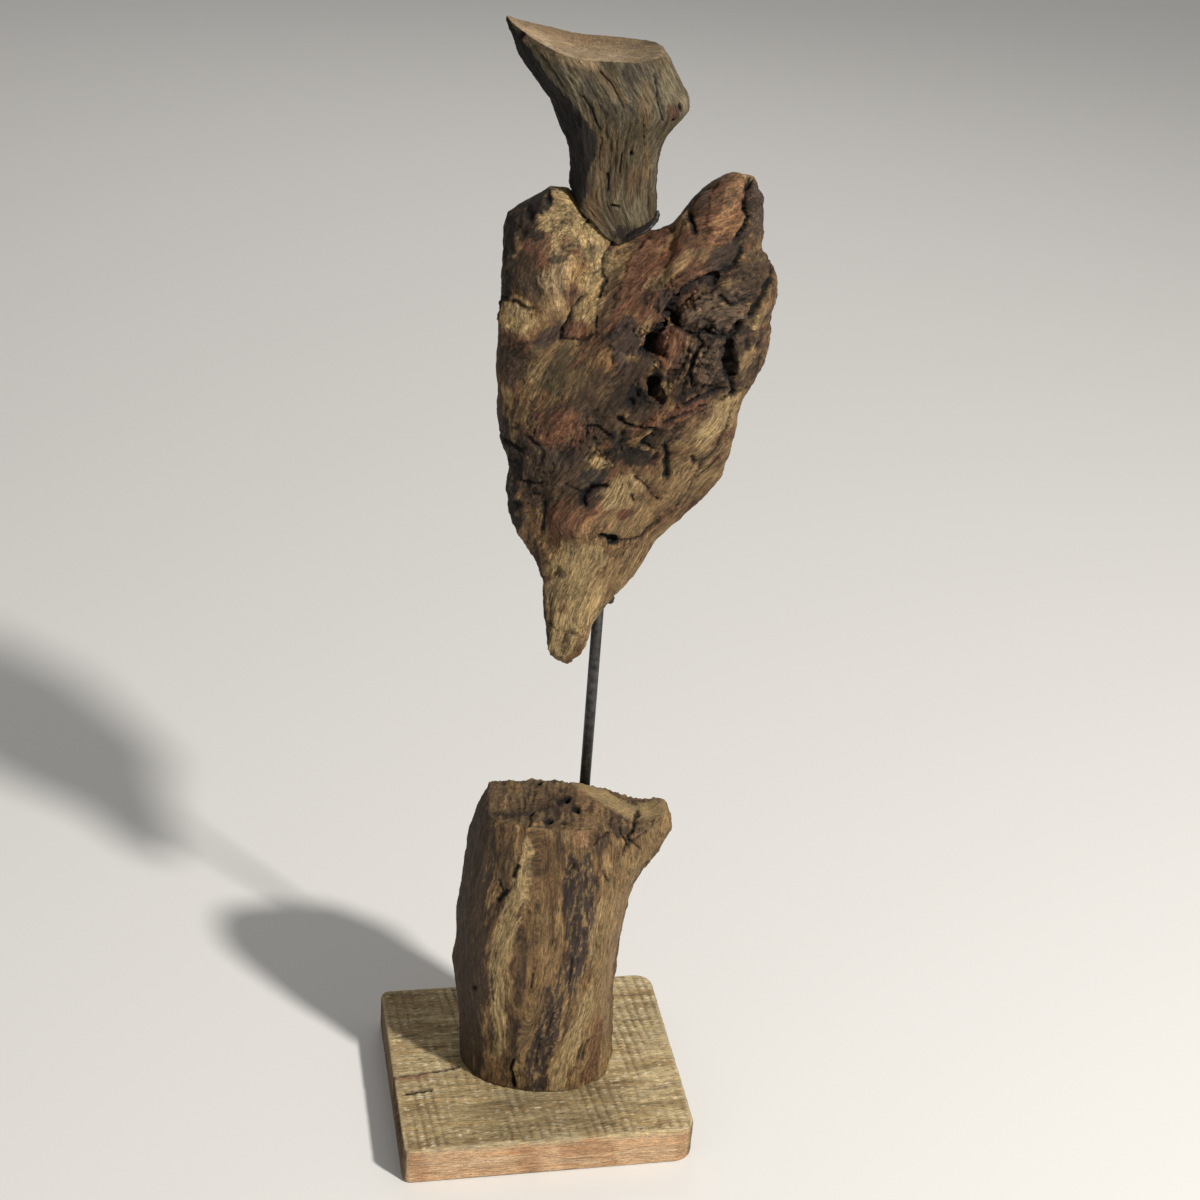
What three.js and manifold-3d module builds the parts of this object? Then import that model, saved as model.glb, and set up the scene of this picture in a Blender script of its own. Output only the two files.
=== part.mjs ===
// Abstract sculpture of weathered root wood on a steel rod, standing on a sawn board.
// Millimetres, +Z up, the front faces -Y. The origin is the centre of the board's underside.
import * as THREE from 'three';
import { mergeVertices } from 'three/addons/utils/BufferGeometryUtils.js';
import Module from 'manifold-3d';

const wasm = await Module();
wasm.setup();

// The board
const boardLength = 170;
const boardDepth = 140;
const boardThickness = 25;
const boardCornerRadius = 7;
const boardEdgeRound = 1.8;
const splitLength = 26;
const splitWidth = 1.4;

// The trunk, and its place on the board
const trunkHeight = 193;
const trunkWidth = 92;
const trunkDepth = 70;
const standX = 2.4;
const standY = 4.7;
const facingAngle = THREE.MathUtils.degToRad(-12.5);

// The rod, which stands in one blind hole in the trunk and another in the torso
const rodDiameter = 6;
const rodExposed = 116;
const trunkSocketDepth = 42;
const torsoSocketDepth = 45;
const boreClearance = 0.3;

// The torso and the head that is scribed into its notch
const torsoHeight = 280;
const torsoThickness = 50;
const headHeight = 101;
const headThickness = 38;
const seatGap = 0.35;
const puttyThickness = 2.2;

const rodRadius = rodDiameter / 2;
const rodX = 0.18 * trunkWidth;
const rodY = 0.157 * trunkDepth;

// Small helpers for free forms

// A smooth curve through [place, value] pairs, with places in rising order.
function profile(pairs) {
  const places = pairs.map((pair) => pair[0]);
  const values = pairs.map((pair) => pair[1]);
  const curve = new THREE.CubicInterpolant(places, values, 1, new Float32Array(1));
  const last = places.length - 1;
  return (at) => curve.evaluate(THREE.MathUtils.clamp(at, places[0], places[last]))[0];
}

const signedPower = (value, power) => Math.sign(value) * Math.abs(value) ** power;

// A gentle unevenness between about -1 and 1.
function uneven(a, b) {
  return 0.6 * Math.sin(1.9 * a + 1.1 * Math.sin(1.3 * b)) * Math.cos(1.7 * b - 0.8 * a)
    + 0.4 * Math.sin(3.7 * b + 1.7) * Math.sin(3.1 * a - 0.6);
}

// How far a mound rises at (x, z): 1 at its middle, fading out along and across its own axis.
function mound({ x: cx, z: cz, along, across, turn = 0 }, x, z) {
  const angle = THREE.MathUtils.degToRad(turn);
  const dx = x - cx;
  const dz = z - cz;
  const a = (dx * Math.cos(angle) + dz * Math.sin(angle)) / along;
  const c = (dz * Math.cos(angle) - dx * Math.sin(angle)) / across;
  return Math.exp(-(a * a + c * c));
}

// Solids

function solidOf(geometry) {
  const bare = geometry.clone();
  bare.deleteAttribute('normal');
  bare.deleteAttribute('uv');
  const merged = mergeVertices(bare, 1e-4);
  const corners = [];
  for (let i = 0; i < merged.index.count; i += 3) {
    const [a, b, c] = [0, 1, 2].map((k) => merged.index.getX(i + k));
    if (a !== b && b !== c && a !== c) corners.push(a, b, c);
  }
  const made = new wasm.Manifold(new wasm.Mesh({
    numProp: 3,
    vertProperties: merged.attributes.position.array,
    triVerts: new Uint32Array(corners),
  }));
  if (made.volume() <= 0) throw new Error('a blank is inside out');
  return made;
}

function geometryOf(solid) {
  const { numProp, vertProperties, triVerts } = solid.getMesh();
  const places = new Float32Array((vertProperties.length / numProp) * 3);
  for (let i = 0; i * numProp < vertProperties.length; i += 1) {
    places.set(vertProperties.subarray(i * numProp, i * numProp + 3), i * 3);
  }
  const geometry = new THREE.BufferGeometry();
  geometry.setAttribute('position', new THREE.BufferAttribute(places, 3));
  geometry.setIndex(new THREE.BufferAttribute(triVerts, 1));
  return geometry.toNonIndexed();
}

const largestOf = (solid) => solid.decompose().sort((a, b) => b.volume() - a.volume())[0];

function piece(name, solid, material) {
  const geometry = geometryOf(solid);
  geometry.computeVertexNormals();
  const mesh = new THREE.Mesh(geometry, material);
  mesh.name = name;
  return mesh;
}

// Moves each vertex of a geometry to where place(vertex, uv) sets it.
function reshaped(geometry, place) {
  const position = geometry.attributes.position;
  const uv = geometry.attributes.uv;
  const vertex = new THREE.Vector3();
  for (let i = 0; i < position.count; i += 1) {
    vertex.fromBufferAttribute(position, i);
    place(vertex, uv.getX(i), uv.getY(i));
    position.setXYZ(i, vertex.x, vertex.y, vertex.z);
  }
  return geometry;
}

// A log standing on z = 0: a turned blank of unit size whose sections get their own width, depth and shape.
// shape gives left, right, front, back and squareness at a share of the height. fall and foot give how far
// the top lies below the full height and the foot above zero at (x, y), and ribs adds to the radius.
function log({ height, around, rows, capRings, shape, fall, foot = () => 0, ribs = () => 0 }) {
  const blank = [new THREE.Vector2(0, 0), new THREE.Vector2(0.55, 0)];
  for (let row = 0; row <= rows; row += 1) blank.push(new THREE.Vector2(1, row / rows));
  for (let ring = capRings - 1; ring >= 0; ring -= 1) blank.push(new THREE.Vector2(ring / capRings, 1));
  const turned = new THREE.LatheGeometry(blank, around).rotateX(Math.PI / 2);
  return reshaped(turned, (v) => {
    const row = THREE.MathUtils.clamp(v.z, 0, 1);
    const radius = Math.hypot(v.x, v.y);
    const angle = Math.atan2(v.y, v.x);
    const [cosine, sine] = [Math.cos(angle), Math.sin(angle)];
    let share = row;
    // The section depends on the height and the height on the section, so both settle over a few passes.
    for (let pass = 0; pass < 4; pass += 1) {
      const { left, right, front, back, leftPower, rightPower } = shape(share);
      const power = cosine < 0 ? leftPower : rightPower;
      const width = (right - left) / 2;
      const reach = radius * (1 + ribs(angle, share) / width);
      v.x = (left + right) / 2 + reach * width * signedPower(cosine, power);
      v.y = reach * (sine < 0 ? front : back) * signedPower(sine, power);
      const low = foot(v.x, v.y);
      v.z = low + row * (height - fall(v.x, v.y) - low);
      share = THREE.MathUtils.clamp(v.z / height, 0, 1);
    }
  });
}

// The board

function buildBoard() {
  const halfX = boardLength / 2 - boardEdgeRound;
  const halfY = boardDepth / 2 - boardEdgeRound;
  const worn = 1.25 * boardCornerRadius;
  const crisp = 0.55 * boardCornerRadius;
  const outline = new THREE.Shape();
  outline.absarc(halfX - worn, halfY - worn, worn, 0, Math.PI / 2);
  outline.absarc(-halfX + crisp, halfY - crisp, crisp, Math.PI / 2, Math.PI);
  const splitY = -0.1 * boardDepth;
  outline.lineTo(-halfX, splitY + splitWidth / 2);
  outline.lineTo(-halfX + splitLength, splitY + 0.1 * splitLength);
  outline.lineTo(-halfX, splitY - splitWidth / 2);
  outline.absarc(-halfX + crisp, -halfY + crisp, crisp, Math.PI, 1.5 * Math.PI);
  outline.absarc(halfX - worn, -halfY + worn, worn, 1.5 * Math.PI, 2 * Math.PI);
  outline.closePath();
  const plank = new THREE.ExtrudeGeometry(outline, {
    depth: boardThickness - 2 * boardEdgeRound,
    bevelSize: boardEdgeRound,
    bevelThickness: boardEdgeRound,
    bevelSegments: 2,
    curveSegments: 5,
  });
  return solidOf(plank.translate(0, 0, boardEdgeRound));
}

// The trunk, a rounded log with a knob high on its right and a broken top that falls away behind

function buildTrunk() {
  const half = trunkWidth / 2;
  const halfDepth = trunkDepth / 2;
  const left = profile([
    [0, -1.0], [0.15, -1.04], [0.32, -1.11], [0.37, -1.145], [0.43, -1.13], [0.665, -1.09],
    [0.835, -0.99], [0.92, -0.91], [1, -0.78],
  ]);
  const right = profile([
    [0, 0.99], [0.12, 0.95], [0.33, 0.925], [0.5, 0.97], [0.68, 0.99], [0.85, 0.98], [1, 0.93],
  ]);
  const front = profile([[0, 1], [0.35, 1.06], [0.7, 1.0], [0.9, 0.92], [1, 0.8]]);
  const back = profile([[0, 1], [0.4, 1.04], [0.8, 0.95], [1, 0.82]]);
  const knob = profile([
    [0, 0], [0.58, 0], [0.65, 0.03], [0.72, 0.09], [0.78, 0.21], [0.84, 0.36], [0.91, 0.51], [1, 0.43],
  ]);
  const knobSpread = THREE.MathUtils.degToRad(27);
  const ribs = (angle, share) => {
    const bulge = half * knob(share) * Math.exp(-(((angle + 0.12) / knobSpread) ** 2));
    return bulge + half * (0.02 * uneven(3 * angle, 2.2 * share) + 0.011 * Math.sin(11 * angle + 5 * share));
  };
  const fall = (x, y) => {
    const across = x / half;
    const inward = y / halfDepth;
    const toLeft = 0.02 * THREE.MathUtils.smoothstep(-across, 0.2, 0.85);
    const toRight = 0.045 * THREE.MathUtils.smoothstep(across, 0.3, 1.2);
    const toFront = 0.036 * THREE.MathUtils.smoothstep(-inward, 0.1, 0.85);
    const toBack = 0.11 * THREE.MathUtils.smoothstep(inward, 0.1, 0.95);
    const lip = 0.035 * Math.exp(-(((across - 1.4) / 0.17) ** 2));
    const rot = 0.03 * mound({ x: -0.35, z: -0.28, along: 0.34, across: 0.2, turn: 12 }, across, inward);
    const broken = 0.007 * uneven(7 * across, 6 * inward);
    return trunkHeight * (toLeft + toRight + toFront + toBack - lip + rot + broken);
  };
  const blank = solidOf(log({
    height: trunkHeight,
    around: 44,
    rows: 15,
    capRings: 6,
    fall,
    ribs,
    shape: (share) => ({
      left: half * left(share),
      right: half * right(share),
      front: halfDepth * front(share),
      back: halfDepth * back(share),
      leftPower: 0.88,
      rightPower: 0.92,
    }),
  }));
  return blank.subtract(rodHole(trunkHeight - trunkSocketDepth, trunkHeight + trunkSocketDepth));
}

// A drilled hole for the rod between two heights, in the figure's frame
function rodHole(low, high) {
  const radius = rodRadius + boreClearance;
  return solidOf(upright(radius, low, high));
}

function upright(radius, low, high) {
  const round = new THREE.CylinderGeometry(radius, radius, high - low, 24).rotateX(Math.PI / 2);
  return round.translate(rodX, rodY, (low + high) / 2);
}

const entryZ = trunkHeight + rodExposed;

function buildRod() {
  const low = trunkHeight - trunkSocketDepth + boreClearance;
  const high = entryZ + torsoSocketDepth - boreClearance;
  return solidOf(upright(rodRadius, low, high));
}

// The torso: a thick slab of root with two shoulders, a notch between them and a long tip.
// Its own frame has the rod's axis at x = 0, y = 0 and the rod's entry at z = 0, and its outline, mounds
// and hollows are in hundredths of its height.

const notch = { x: -1.4, z: 73.6 };

const torsoOutline = [
  [-1.4, 73.6], [2.0, 74.0], [5.4, 74.6], [8.0, 75.8], [9.8, 79.4], [13.5, 83.9], [19.4, 86.0], [22.6, 83.6],
  [23.4, 76.8], [24.1, 72.2], [26.8, 68.8], [27.4, 65.2], [26.9, 60.6], [26.6, 55.0], [25.2, 49.4],
  [23.6, 45.2], [22.9, 41.0], [22.0, 33.3], [20.5, 28.2], [16.5, 22.4], [12.7, 17.8], [9.5, 13.2],
  [6.0, 5.6], [2.6, 1.8], [-0.6, -3.0], [-1.9, -7.6], [-4.6, -11.7], [-7.9, -10.7], [-9.9, -5.2],
  [-11.0, 4.5], [-13.6, 9.4], [-17.3, 15.5], [-19.0, 21.5], [-19.0, 28.2], [-20.6, 33.6],
  [-21.8, 45.6], [-22.0, 55.4], [-21.7, 64.0], [-21.6, 71.5], [-21.1, 75.2], [-18.8, 77.6],
  [-16.0, 79.4], [-13.8, 81.4], [-11.9, 81.6], [-9.2, 79.2], [-4.2, 75.2],
];

// Broad carving of the front: rise is in hundredths of the height, towards the viewer.
const torsoMounds = [
  { x: -14.3, z: 71, along: 10, across: 5.5, turn: 100, rise: 2.0 },
  { x: 7, z: 66.5, along: 19, across: 4.2, turn: 58, rise: 1.5 },
  { x: -6, z: 63, along: 13, across: 2.6, turn: 70, rise: -1.7 },
  { x: 17.5, z: 57.5, along: 9.5, across: 6.5, turn: 60, rise: 2.5 },
  { x: 8, z: 41, along: 9, across: 3, turn: 25, rise: 1.3 },
  { x: -13, z: 45, along: 14, across: 5, turn: 80, rise: 0.8 },
  { x: -5, z: 20.4, along: 6.5, across: 5, turn: 20, rise: 1.5 },
  { x: 7, z: 34, along: 9, across: 2.6, turn: -15, rise: -1.1 },
  { x: 16, z: 27, along: 10, across: 5, turn: 52, rise: -1.2 },
  { x: -6.5, z: 2, along: 9, across: 3, turn: 80, rise: 0.8 },
];

// Rotted hollows cut into the front, with deep as the depth of each.
const torsoHollows = [
  { x: 12.5, z: 65.8, along: 9.2, across: 1.1, turn: 47, deep: 3.0 },
  { x: 6.3, z: 56.8, along: 3.6, across: 1.6, turn: -40, deep: 3.6 },
  { x: 6.8, z: 48.1, along: 3.2, across: 1.3, turn: -58, deep: 3.6 },
  { x: 20.3, z: 53.4, along: 6.8, across: 1.4, turn: -72, deep: 3.8 },
  { x: 24.0, z: 66.4, along: 3.4, across: 0.9, turn: -43, deep: 2.6 },
  { x: 1.5, z: 17.0, along: 2.2, across: 0.8, turn: 14, deep: 2.4 },
];

const torsoUnit = torsoHeight / 100;
const torsoFull = torsoThickness / 2;
const torsoHalf = profile([
  [-14, 0.4], [-6, 0.5], [0, 0.62], [8, 0.8], [22, 0.96], [45, 1], [62, 0.96], [74, 0.82], [85, 0.62],
]);
const torsoLean = profile([[-14, -0.62], [-5, -0.58], [3, -0.2], [12, -0.04], [40, 0], [85, 0.04]]);

function torsoFront(x, z) {
  const rise = torsoMounds.reduce((sum, one) => sum + one.rise * mound(one, x, z), 0);
  return rise + 0.28 * uneven(x / 3.1 + z / 6, z / 4.3);
}

// The side of a box blank bent to a ball, so that the slab's front and back keep an even grid.
const bent = (a, b, c) => a * Math.sqrt(1 - (b * b + c * c) / 2 + (b * b * c * c) / 3);

function buildTorso() {
  const centre = new THREE.Vector2(2.5, 46);
  const outline = torsoOutline.map(([x, z]) => new THREE.Vector3(x, z, 0));
  const rim = new THREE.CatmullRomCurve3(outline, true, 'centripetal');
  rim.arcLengthDivisions = 600;
  const blank = reshaped(new THREE.BoxGeometry(2, 2, 2, 21, 6, 30), (v) => {
    const across = bent(v.x, v.y, v.z);
    const up = bent(v.z, v.x, v.y);
    const inward = bent(v.y, v.z, v.x);
    const out = Math.min(1, Math.hypot(across, up));
    // The outline runs clockwise from the notch at its top, and so does this angle.
    const turn = THREE.MathUtils.euclideanModulo(Math.atan2(across, up) / (2 * Math.PI), 1);
    const edge = rim.getPointAt(turn);
    const x = centre.x + out * (edge.x - centre.x);
    const z = centre.y + out * (edge.y - centre.y);
    const swell = signedPower(-inward, 0.6);
    const middle = torsoFull * torsoLean(z);
    const carved = torsoUnit * torsoFront(x, z) * THREE.MathUtils.smoothstep(swell, 0, 0.7);
    const rippled = 0.43 * torsoUnit * uneven(x / 5, z / 9) * THREE.MathUtils.smoothstep(-swell, 0, 0.7);
    v.set(torsoUnit * x, middle - torsoFull * torsoHalf(z) * swell - carved + rippled, torsoUnit * z);
  });
  const slab = solidOf(blank);
  const hollowed = torsoHollows.reduce((left, one) => left.subtract(hollowOf(one)), slab);
  return largestOf(hollowed.translate(rodX, rodY, entryZ).add(buildStub())
    .subtract(rodHole(entryZ - trunkSocketDepth, entryZ + torsoSocketDepth)));
}

// One hollow as a flattened ball, half sunk in the torso's front.
function hollowOf({ x, z, along, across, turn, deep }) {
  const surface = torsoFull * (torsoLean(z) - torsoHalf(z)) - torsoUnit * torsoFront(x, z);
  const ball = new THREE.SphereGeometry(torsoUnit, 12, 8)
    .scale(along, deep, across)
    .rotateY(THREE.MathUtils.degToRad(-turn))
    .translate(torsoUnit * x, surface, torsoUnit * z);
  return solidOf(ball);
}

// The small knot beside the rod, on the torso's underside.
function buildStub() {
  const radius = 0.0096 * torsoHeight;
  const besideRod = rodRadius + radius + 2 * boreClearance;
  const knot = new THREE.SphereGeometry(radius, 12, 8).scale(1, 1.2, 1.5);
  return solidOf(knot.translate(rodX + besideRod, rodY - 0.3 * radius, entryZ + 0.5 * radius));
}

// The head: a forked stump, its neck down in the notch and its sawn top rising to a beak on the left.
// Its own frame has the bottom of the notch at x = 0, z = 0.

const notchX = rodX + torsoUnit * notch.x;
const notchY = rodY + 0.14 * torsoThickness;
const notchZ = entryZ + torsoUnit * notch.z;

function headBlank() {
  const unit = headHeight / 101;
  const half = headThickness / 2;
  const left = profile([
    [0, -27], [0.265, -26.7], [0.34, -26.9], [0.436, -29.4], [0.529, -34.7], [0.614, -38], [0.694, -45],
    [0.788, -52.4], [0.874, -56.2], [0.95, -59.9], [1, -61],
  ]);
  const right = profile([
    [0, 17.5], [0.055, 17.5], [0.175, 16.2], [0.345, 16.4], [0.45, 18.4], [0.53, 22.6], [0.6, 28],
    [0.655, 28.8], [0.755, 22.6], [0.88, 14.4], [0.94, 7], [1, 3],
  ]);
  const thickness = profile([[0, 0.88], [0.3, 0.92], [0.55, 1], [0.75, 1.06], [0.92, 1], [1, 0.86]]);
  const bluntness = profile([[0, 0.72], [0.45, 0.78], [0.7, 1.1], [1, 1.35]]);
  const fall = (x, y) => {
    const fromBeak = THREE.MathUtils.clamp((x / unit + 61) / 34, 0, 1) ** 0.7;
    const towardsFront = THREE.MathUtils.smoothstep(-y / half, -0.9, 1);
    const atRight = THREE.MathUtils.smoothstep(x / unit, 2, 16);
    return unit * (12.2 * fromBeak - 1.6 * atRight + 1.2 * towardsFront);
  };
  // The neck ends in a wedge a little deeper than the notch, and the torso then cuts it to fit.
  const foot = (x) => Math.max(-0.9 * x, 0.52 * x) - 5 * unit;
  // A ridge runs up the front where the left side turns in, and the side is flat beyond it.
  const ribs = (angle, share) => unit * (0.6 * uneven(2.5 * angle, 3 * share)
    + 2.2 * Math.exp(-(((angle + 2.1) / 0.26) ** 2))
    - 1.8 * Math.exp(-(((angle + 2.62) / 0.27) ** 2)));
  return solidOf(log({
    height: headHeight,
    around: 40,
    rows: 15,
    capRings: 5,
    fall,
    foot,
    ribs,
    shape: (share) => ({
      left: unit * left(share),
      right: unit * right(share),
      front: half * thickness(share),
      back: half * thickness(share),
      leftPower: bluntness(share),
      rightPower: 0.7,
    }),
  })).translate(notchX, notchY, notchZ);
}

// The notch's right flank, along which the black putty lies
const flankAngle = Math.atan(0.52);
const flankUp = [-Math.sin(flankAngle), 0, Math.cos(flankAngle)];
const shifted = (solid, by, [x, y, z]) => solid.translate(by * x, by * y, by * z);

function buildHead(torso) {
  const bedded = headBlank().subtract(shifted(torso, seatGap / Math.cos(flankAngle), [0, 0, 1]));
  return largestOf(bedded.subtract(shifted(torso, puttyThickness + 2 * seatGap, flankUp)));
}

// A lick of black putty that fills the bed under the neck and is squeezed out at its right end.
function buildPutty(torso, head) {
  const reach = 0.11 * headHeight;
  const lick = new THREE.SphereGeometry(1, 14, 8)
    .scale(reach, 0.43 * headThickness, 0.22 * reach)
    .rotateY(-flankAngle)
    .translate(notchX + 0.85 * reach, notchY - 0.12 * headThickness, notchZ + 0.42 * reach);
  const underHead = [flankUp.map((part) => -part), [1, 0, 0]].reduce(
    (left, way) => left.subtract(shifted(head, seatGap, way)),
    solidOf(lick).subtract(head),
  );
  return largestOf(underHead.subtract(shifted(torso, seatGap, flankUp)).subtract(torso));
}

// Finishes

const finish = (color, roughness, metalness = 0) => new THREE.MeshStandardMaterial({
  color,
  roughness,
  metalness,
});

const materials = {
  board: finish(0xa38a62, 0.85),
  trunk: finish(0x7a6145, 0.8),
  torso: finish(0x7c5b3e, 0.8),
  head: finish(0x85765a, 0.8),
  rod: finish(0x3c3b3a, 0.5, 0.9),
  putty: finish(0x16140f, 0.6),
};

// The figure stands on the board as one turned group.
const torso = buildTorso();
const head = buildHead(torso);

const figure = new THREE.Group();
figure.position.set(standX, standY, boardThickness + seatGap);
figure.rotation.z = facingAngle;
figure.add(
  piece('trunk', buildTrunk(), materials.trunk),
  piece('steel_rod', buildRod(), materials.rod),
  piece('torso', torso, materials.torso),
  piece('head', head, materials.head),
  piece('joint_putty', buildPutty(torso, head), materials.putty),
);

const sculpture = new THREE.Group();
sculpture.add(piece('base_board', buildBoard(), materials.board), figure);

export default sculpture;
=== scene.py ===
import itertools
import math

import bmesh
import bpy
import numpy as np
from mathutils import Matrix, Vector


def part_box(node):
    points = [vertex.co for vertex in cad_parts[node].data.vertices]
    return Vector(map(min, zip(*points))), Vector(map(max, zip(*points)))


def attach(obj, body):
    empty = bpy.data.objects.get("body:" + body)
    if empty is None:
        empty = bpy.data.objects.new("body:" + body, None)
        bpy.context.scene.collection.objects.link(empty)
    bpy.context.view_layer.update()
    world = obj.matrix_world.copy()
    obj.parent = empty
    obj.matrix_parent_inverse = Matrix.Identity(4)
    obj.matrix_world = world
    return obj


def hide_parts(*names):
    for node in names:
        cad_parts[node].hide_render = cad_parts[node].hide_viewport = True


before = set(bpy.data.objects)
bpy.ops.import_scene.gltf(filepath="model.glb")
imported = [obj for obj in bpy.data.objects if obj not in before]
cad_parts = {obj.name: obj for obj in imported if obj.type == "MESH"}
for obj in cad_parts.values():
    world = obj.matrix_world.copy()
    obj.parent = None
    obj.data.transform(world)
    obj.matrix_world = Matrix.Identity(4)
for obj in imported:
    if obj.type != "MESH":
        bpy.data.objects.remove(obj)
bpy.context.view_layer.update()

MM = 0.001

# The view, in the board's frame: the photograph looks down from the front left, slightly rolled
EYE = Vector((-0.1990, -0.9821, 0.9195))
YAW = math.radians(12.51)
DIP = math.radians(29.92)
ROLL = math.radians(4.44)
FOCAL_PIXELS = 2200
FRAME_PIXELS = 1200
SENSOR_MM = 36

# Where the figure's own frame stands on the board, and how far it is turned
STAND = np.array([2.4, 4.7, 25.35]) * MM
FACING = math.radians(-12.5)

# In millimetres of that frame: the rod and its entry into the torso, and the torso's notch
ROD_X, ROD_Y = 16.56, 10.99
ENTRY_Z = 309.0
NOTCH_X, NOTCH_Y, NOTCH_Z = 12.64, 17.99, 515.08

# A hundredth of the torso's height, and the board's size, in millimetres
TORSO_UNIT = 2.8
BOARD = np.array([170.0, 140.0, 25.0])

# The studio's floor
FLOOR_RADIUS = 9
FLOOR_SIDES = 96
FLOOR_GREY = (0.80, 0.79, 0.77)

# Spacing of each piece's fine mesh
TORSO_GRID = 0.98 * MM
TRUNK_GRID = 0.94 * MM
HEAD_GRID = 0.56 * MM
BOARD_GRID = 0.86 * MM
PUTTY_GRID = 0.45 * MM

# Surface forms in millimetres: the step in the trunk's top, the hollow in the head's, saw marks and rings
STEP_DEPTH = 2.8
DISH_DEPTH = 1.4
SAW_PITCH = 5.4
RING_PITCH = 3.4

# A distance beyond every piece, to start a search for the nearest
FAR = 99.0

# Stains of the weathered wood, and colours of painted shade and highlights, as linear colours
TAN = (0.36, 0.232, 0.102)
STRAW = (0.49, 0.345, 0.160)
HONEY = (0.220, 0.126, 0.052)
RUST = (0.165, 0.070, 0.035)
UMBER = (0.070, 0.042, 0.023)
# Near black, for painted shade in cracks, pits and on shaded sides
NEAR_BLACK = (0.014, 0.010, 0.007)
OLIVE = (0.120, 0.087, 0.041)
ASH = (0.225, 0.185, 0.115)
SLATE = (0.062, 0.050, 0.038)
PLUM = (0.070, 0.046, 0.035)
BISCUIT = (0.46, 0.325, 0.18)
FLESH = (0.54, 0.31, 0.145)
# Black for the painted shade of the head's left side
SHADE_BLACK = (0.009, 0.006, 0.004)
BURL_BROWN = (0.125, 0.082, 0.052)
# Paler brown for the painted highlight on the burl's crests
BURL_CREST_HIGHLIGHT = (0.20, 0.135, 0.085)
KNOT_BROWN = (0.115, 0.070, 0.045)
BACK_BROWN = (0.105, 0.062, 0.034)
ROTTEN_BROWN = (0.15, 0.095, 0.045)
DRY_ASH = (0.30, 0.245, 0.145)
PALE_ASH = (0.33, 0.26, 0.155)
DEEP_RUST = (0.115, 0.052, 0.028)
ORANGE_BROWN = (0.20, 0.095, 0.038)
# Pale for the painted highlight on the cut top
CUT_TOP_HIGHLIGHT = (0.60, 0.45, 0.29)

# Colours of the sawn board
SAWN_TAN = (0.460, 0.345, 0.175)
SAWN_PALE = (0.62, 0.495, 0.280)
SAW_LINE = (0.17, 0.122, 0.062)
FIBRE_PALE = (0.78, 0.68, 0.48)
FIBRE_DARK = (0.13, 0.09, 0.045)
RIM_MIDDLE = (0.78, 0.50, 0.285)
RIM_DARK = (0.56, 0.315, 0.16)
RIM_PALE = (0.86, 0.68, 0.45)
CREST_TAN = (0.58, 0.46, 0.27)
SPLIT_PINK = (0.33, 0.15, 0.085)


# Camera, light and floor

def make_camera():
    forward = Vector((math.sin(YAW) * math.cos(DIP), math.cos(YAW) * math.cos(DIP), -math.sin(DIP)))
    level = Vector((math.cos(YAW), -math.sin(YAW), 0))
    lift = level.cross(forward)
    right = math.cos(ROLL) * level + math.sin(ROLL) * lift
    up = math.cos(ROLL) * lift - math.sin(ROLL) * level
    data = bpy.data.cameras.new("camera")
    data.sensor_width = SENSOR_MM
    data.lens = FOCAL_PIXELS / FRAME_PIXELS * SENSOR_MM
    camera = bpy.data.objects.new("camera", data)
    bpy.context.scene.collection.objects.link(camera)
    turn = Matrix((right, up, -forward)).transposed()
    camera.matrix_world = Matrix.Translation(EYE) @ turn.to_4x4()
    bpy.context.scene.camera = camera


def soft_light(name, place, aim, size, power, tint):
    data = bpy.data.lights.new(name, "AREA")
    data.shape = "DISK"
    data.size = size
    data.energy = power
    data.color = tint
    lamp = bpy.data.objects.new(name, data)
    lamp.location = place
    lamp.rotation_euler = (Vector(aim) - Vector(place)).to_track_quat("-Z", "Y").to_euler()
    bpy.context.scene.collection.objects.link(lamp)


def make_studio():
    middle = (0, 0, 0.32)
    soft_light("key_light", (1.16, -1.37, 1.95), middle, size=0.20, power=68, tint=(1.0, 0.965, 0.91))
    soft_light("fill_light", (-1.7, -1.3, 1.0), middle, size=1.6, power=2, tint=(0.93, 0.96, 1.0))
    soft_light("back_light", (0.3, 1.8, 1.5), middle, size=1.4, power=6, tint=(1.0, 0.98, 0.95))
    world = bpy.data.worlds.new("studio")
    world.use_nodes = True
    world.node_tree.nodes["Background"].inputs["Color"].default_value = (1, 0.99, 0.97, 1)
    world.node_tree.nodes["Background"].inputs["Strength"].default_value = 0.24
    bpy.context.scene.world = world
    bpy.context.scene.view_settings.view_transform = "Standard"


def make_floor():
    shape = bmesh.new()
    bmesh.ops.create_circle(shape, cap_ends=True, segments=FLOOR_SIDES, radius=FLOOR_RADIUS)
    floor = new_piece("floor", shape)
    finish = plain_finish("floor_paint", FLOOR_GREY, 0.9)
    floor.data.materials.append(finish)


# Pieces and meshes

def new_piece(name, shape):
    mesh = bpy.data.meshes.new(name)
    shape.to_mesh(mesh)
    shape.free()
    piece = bpy.data.objects.new(name, mesh)
    bpy.context.scene.collection.objects.link(piece)
    return piece


def dress(piece, node, finish):
    """Gives a piece its finish and puts it in the place of its CAD node."""
    piece.data.materials.clear()
    piece.data.materials.append(finish)
    piece.data.polygons.foreach_set("use_smooth", np.ones(len(piece.data.polygons), bool))
    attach(piece, "root")
    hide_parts(node)


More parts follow.
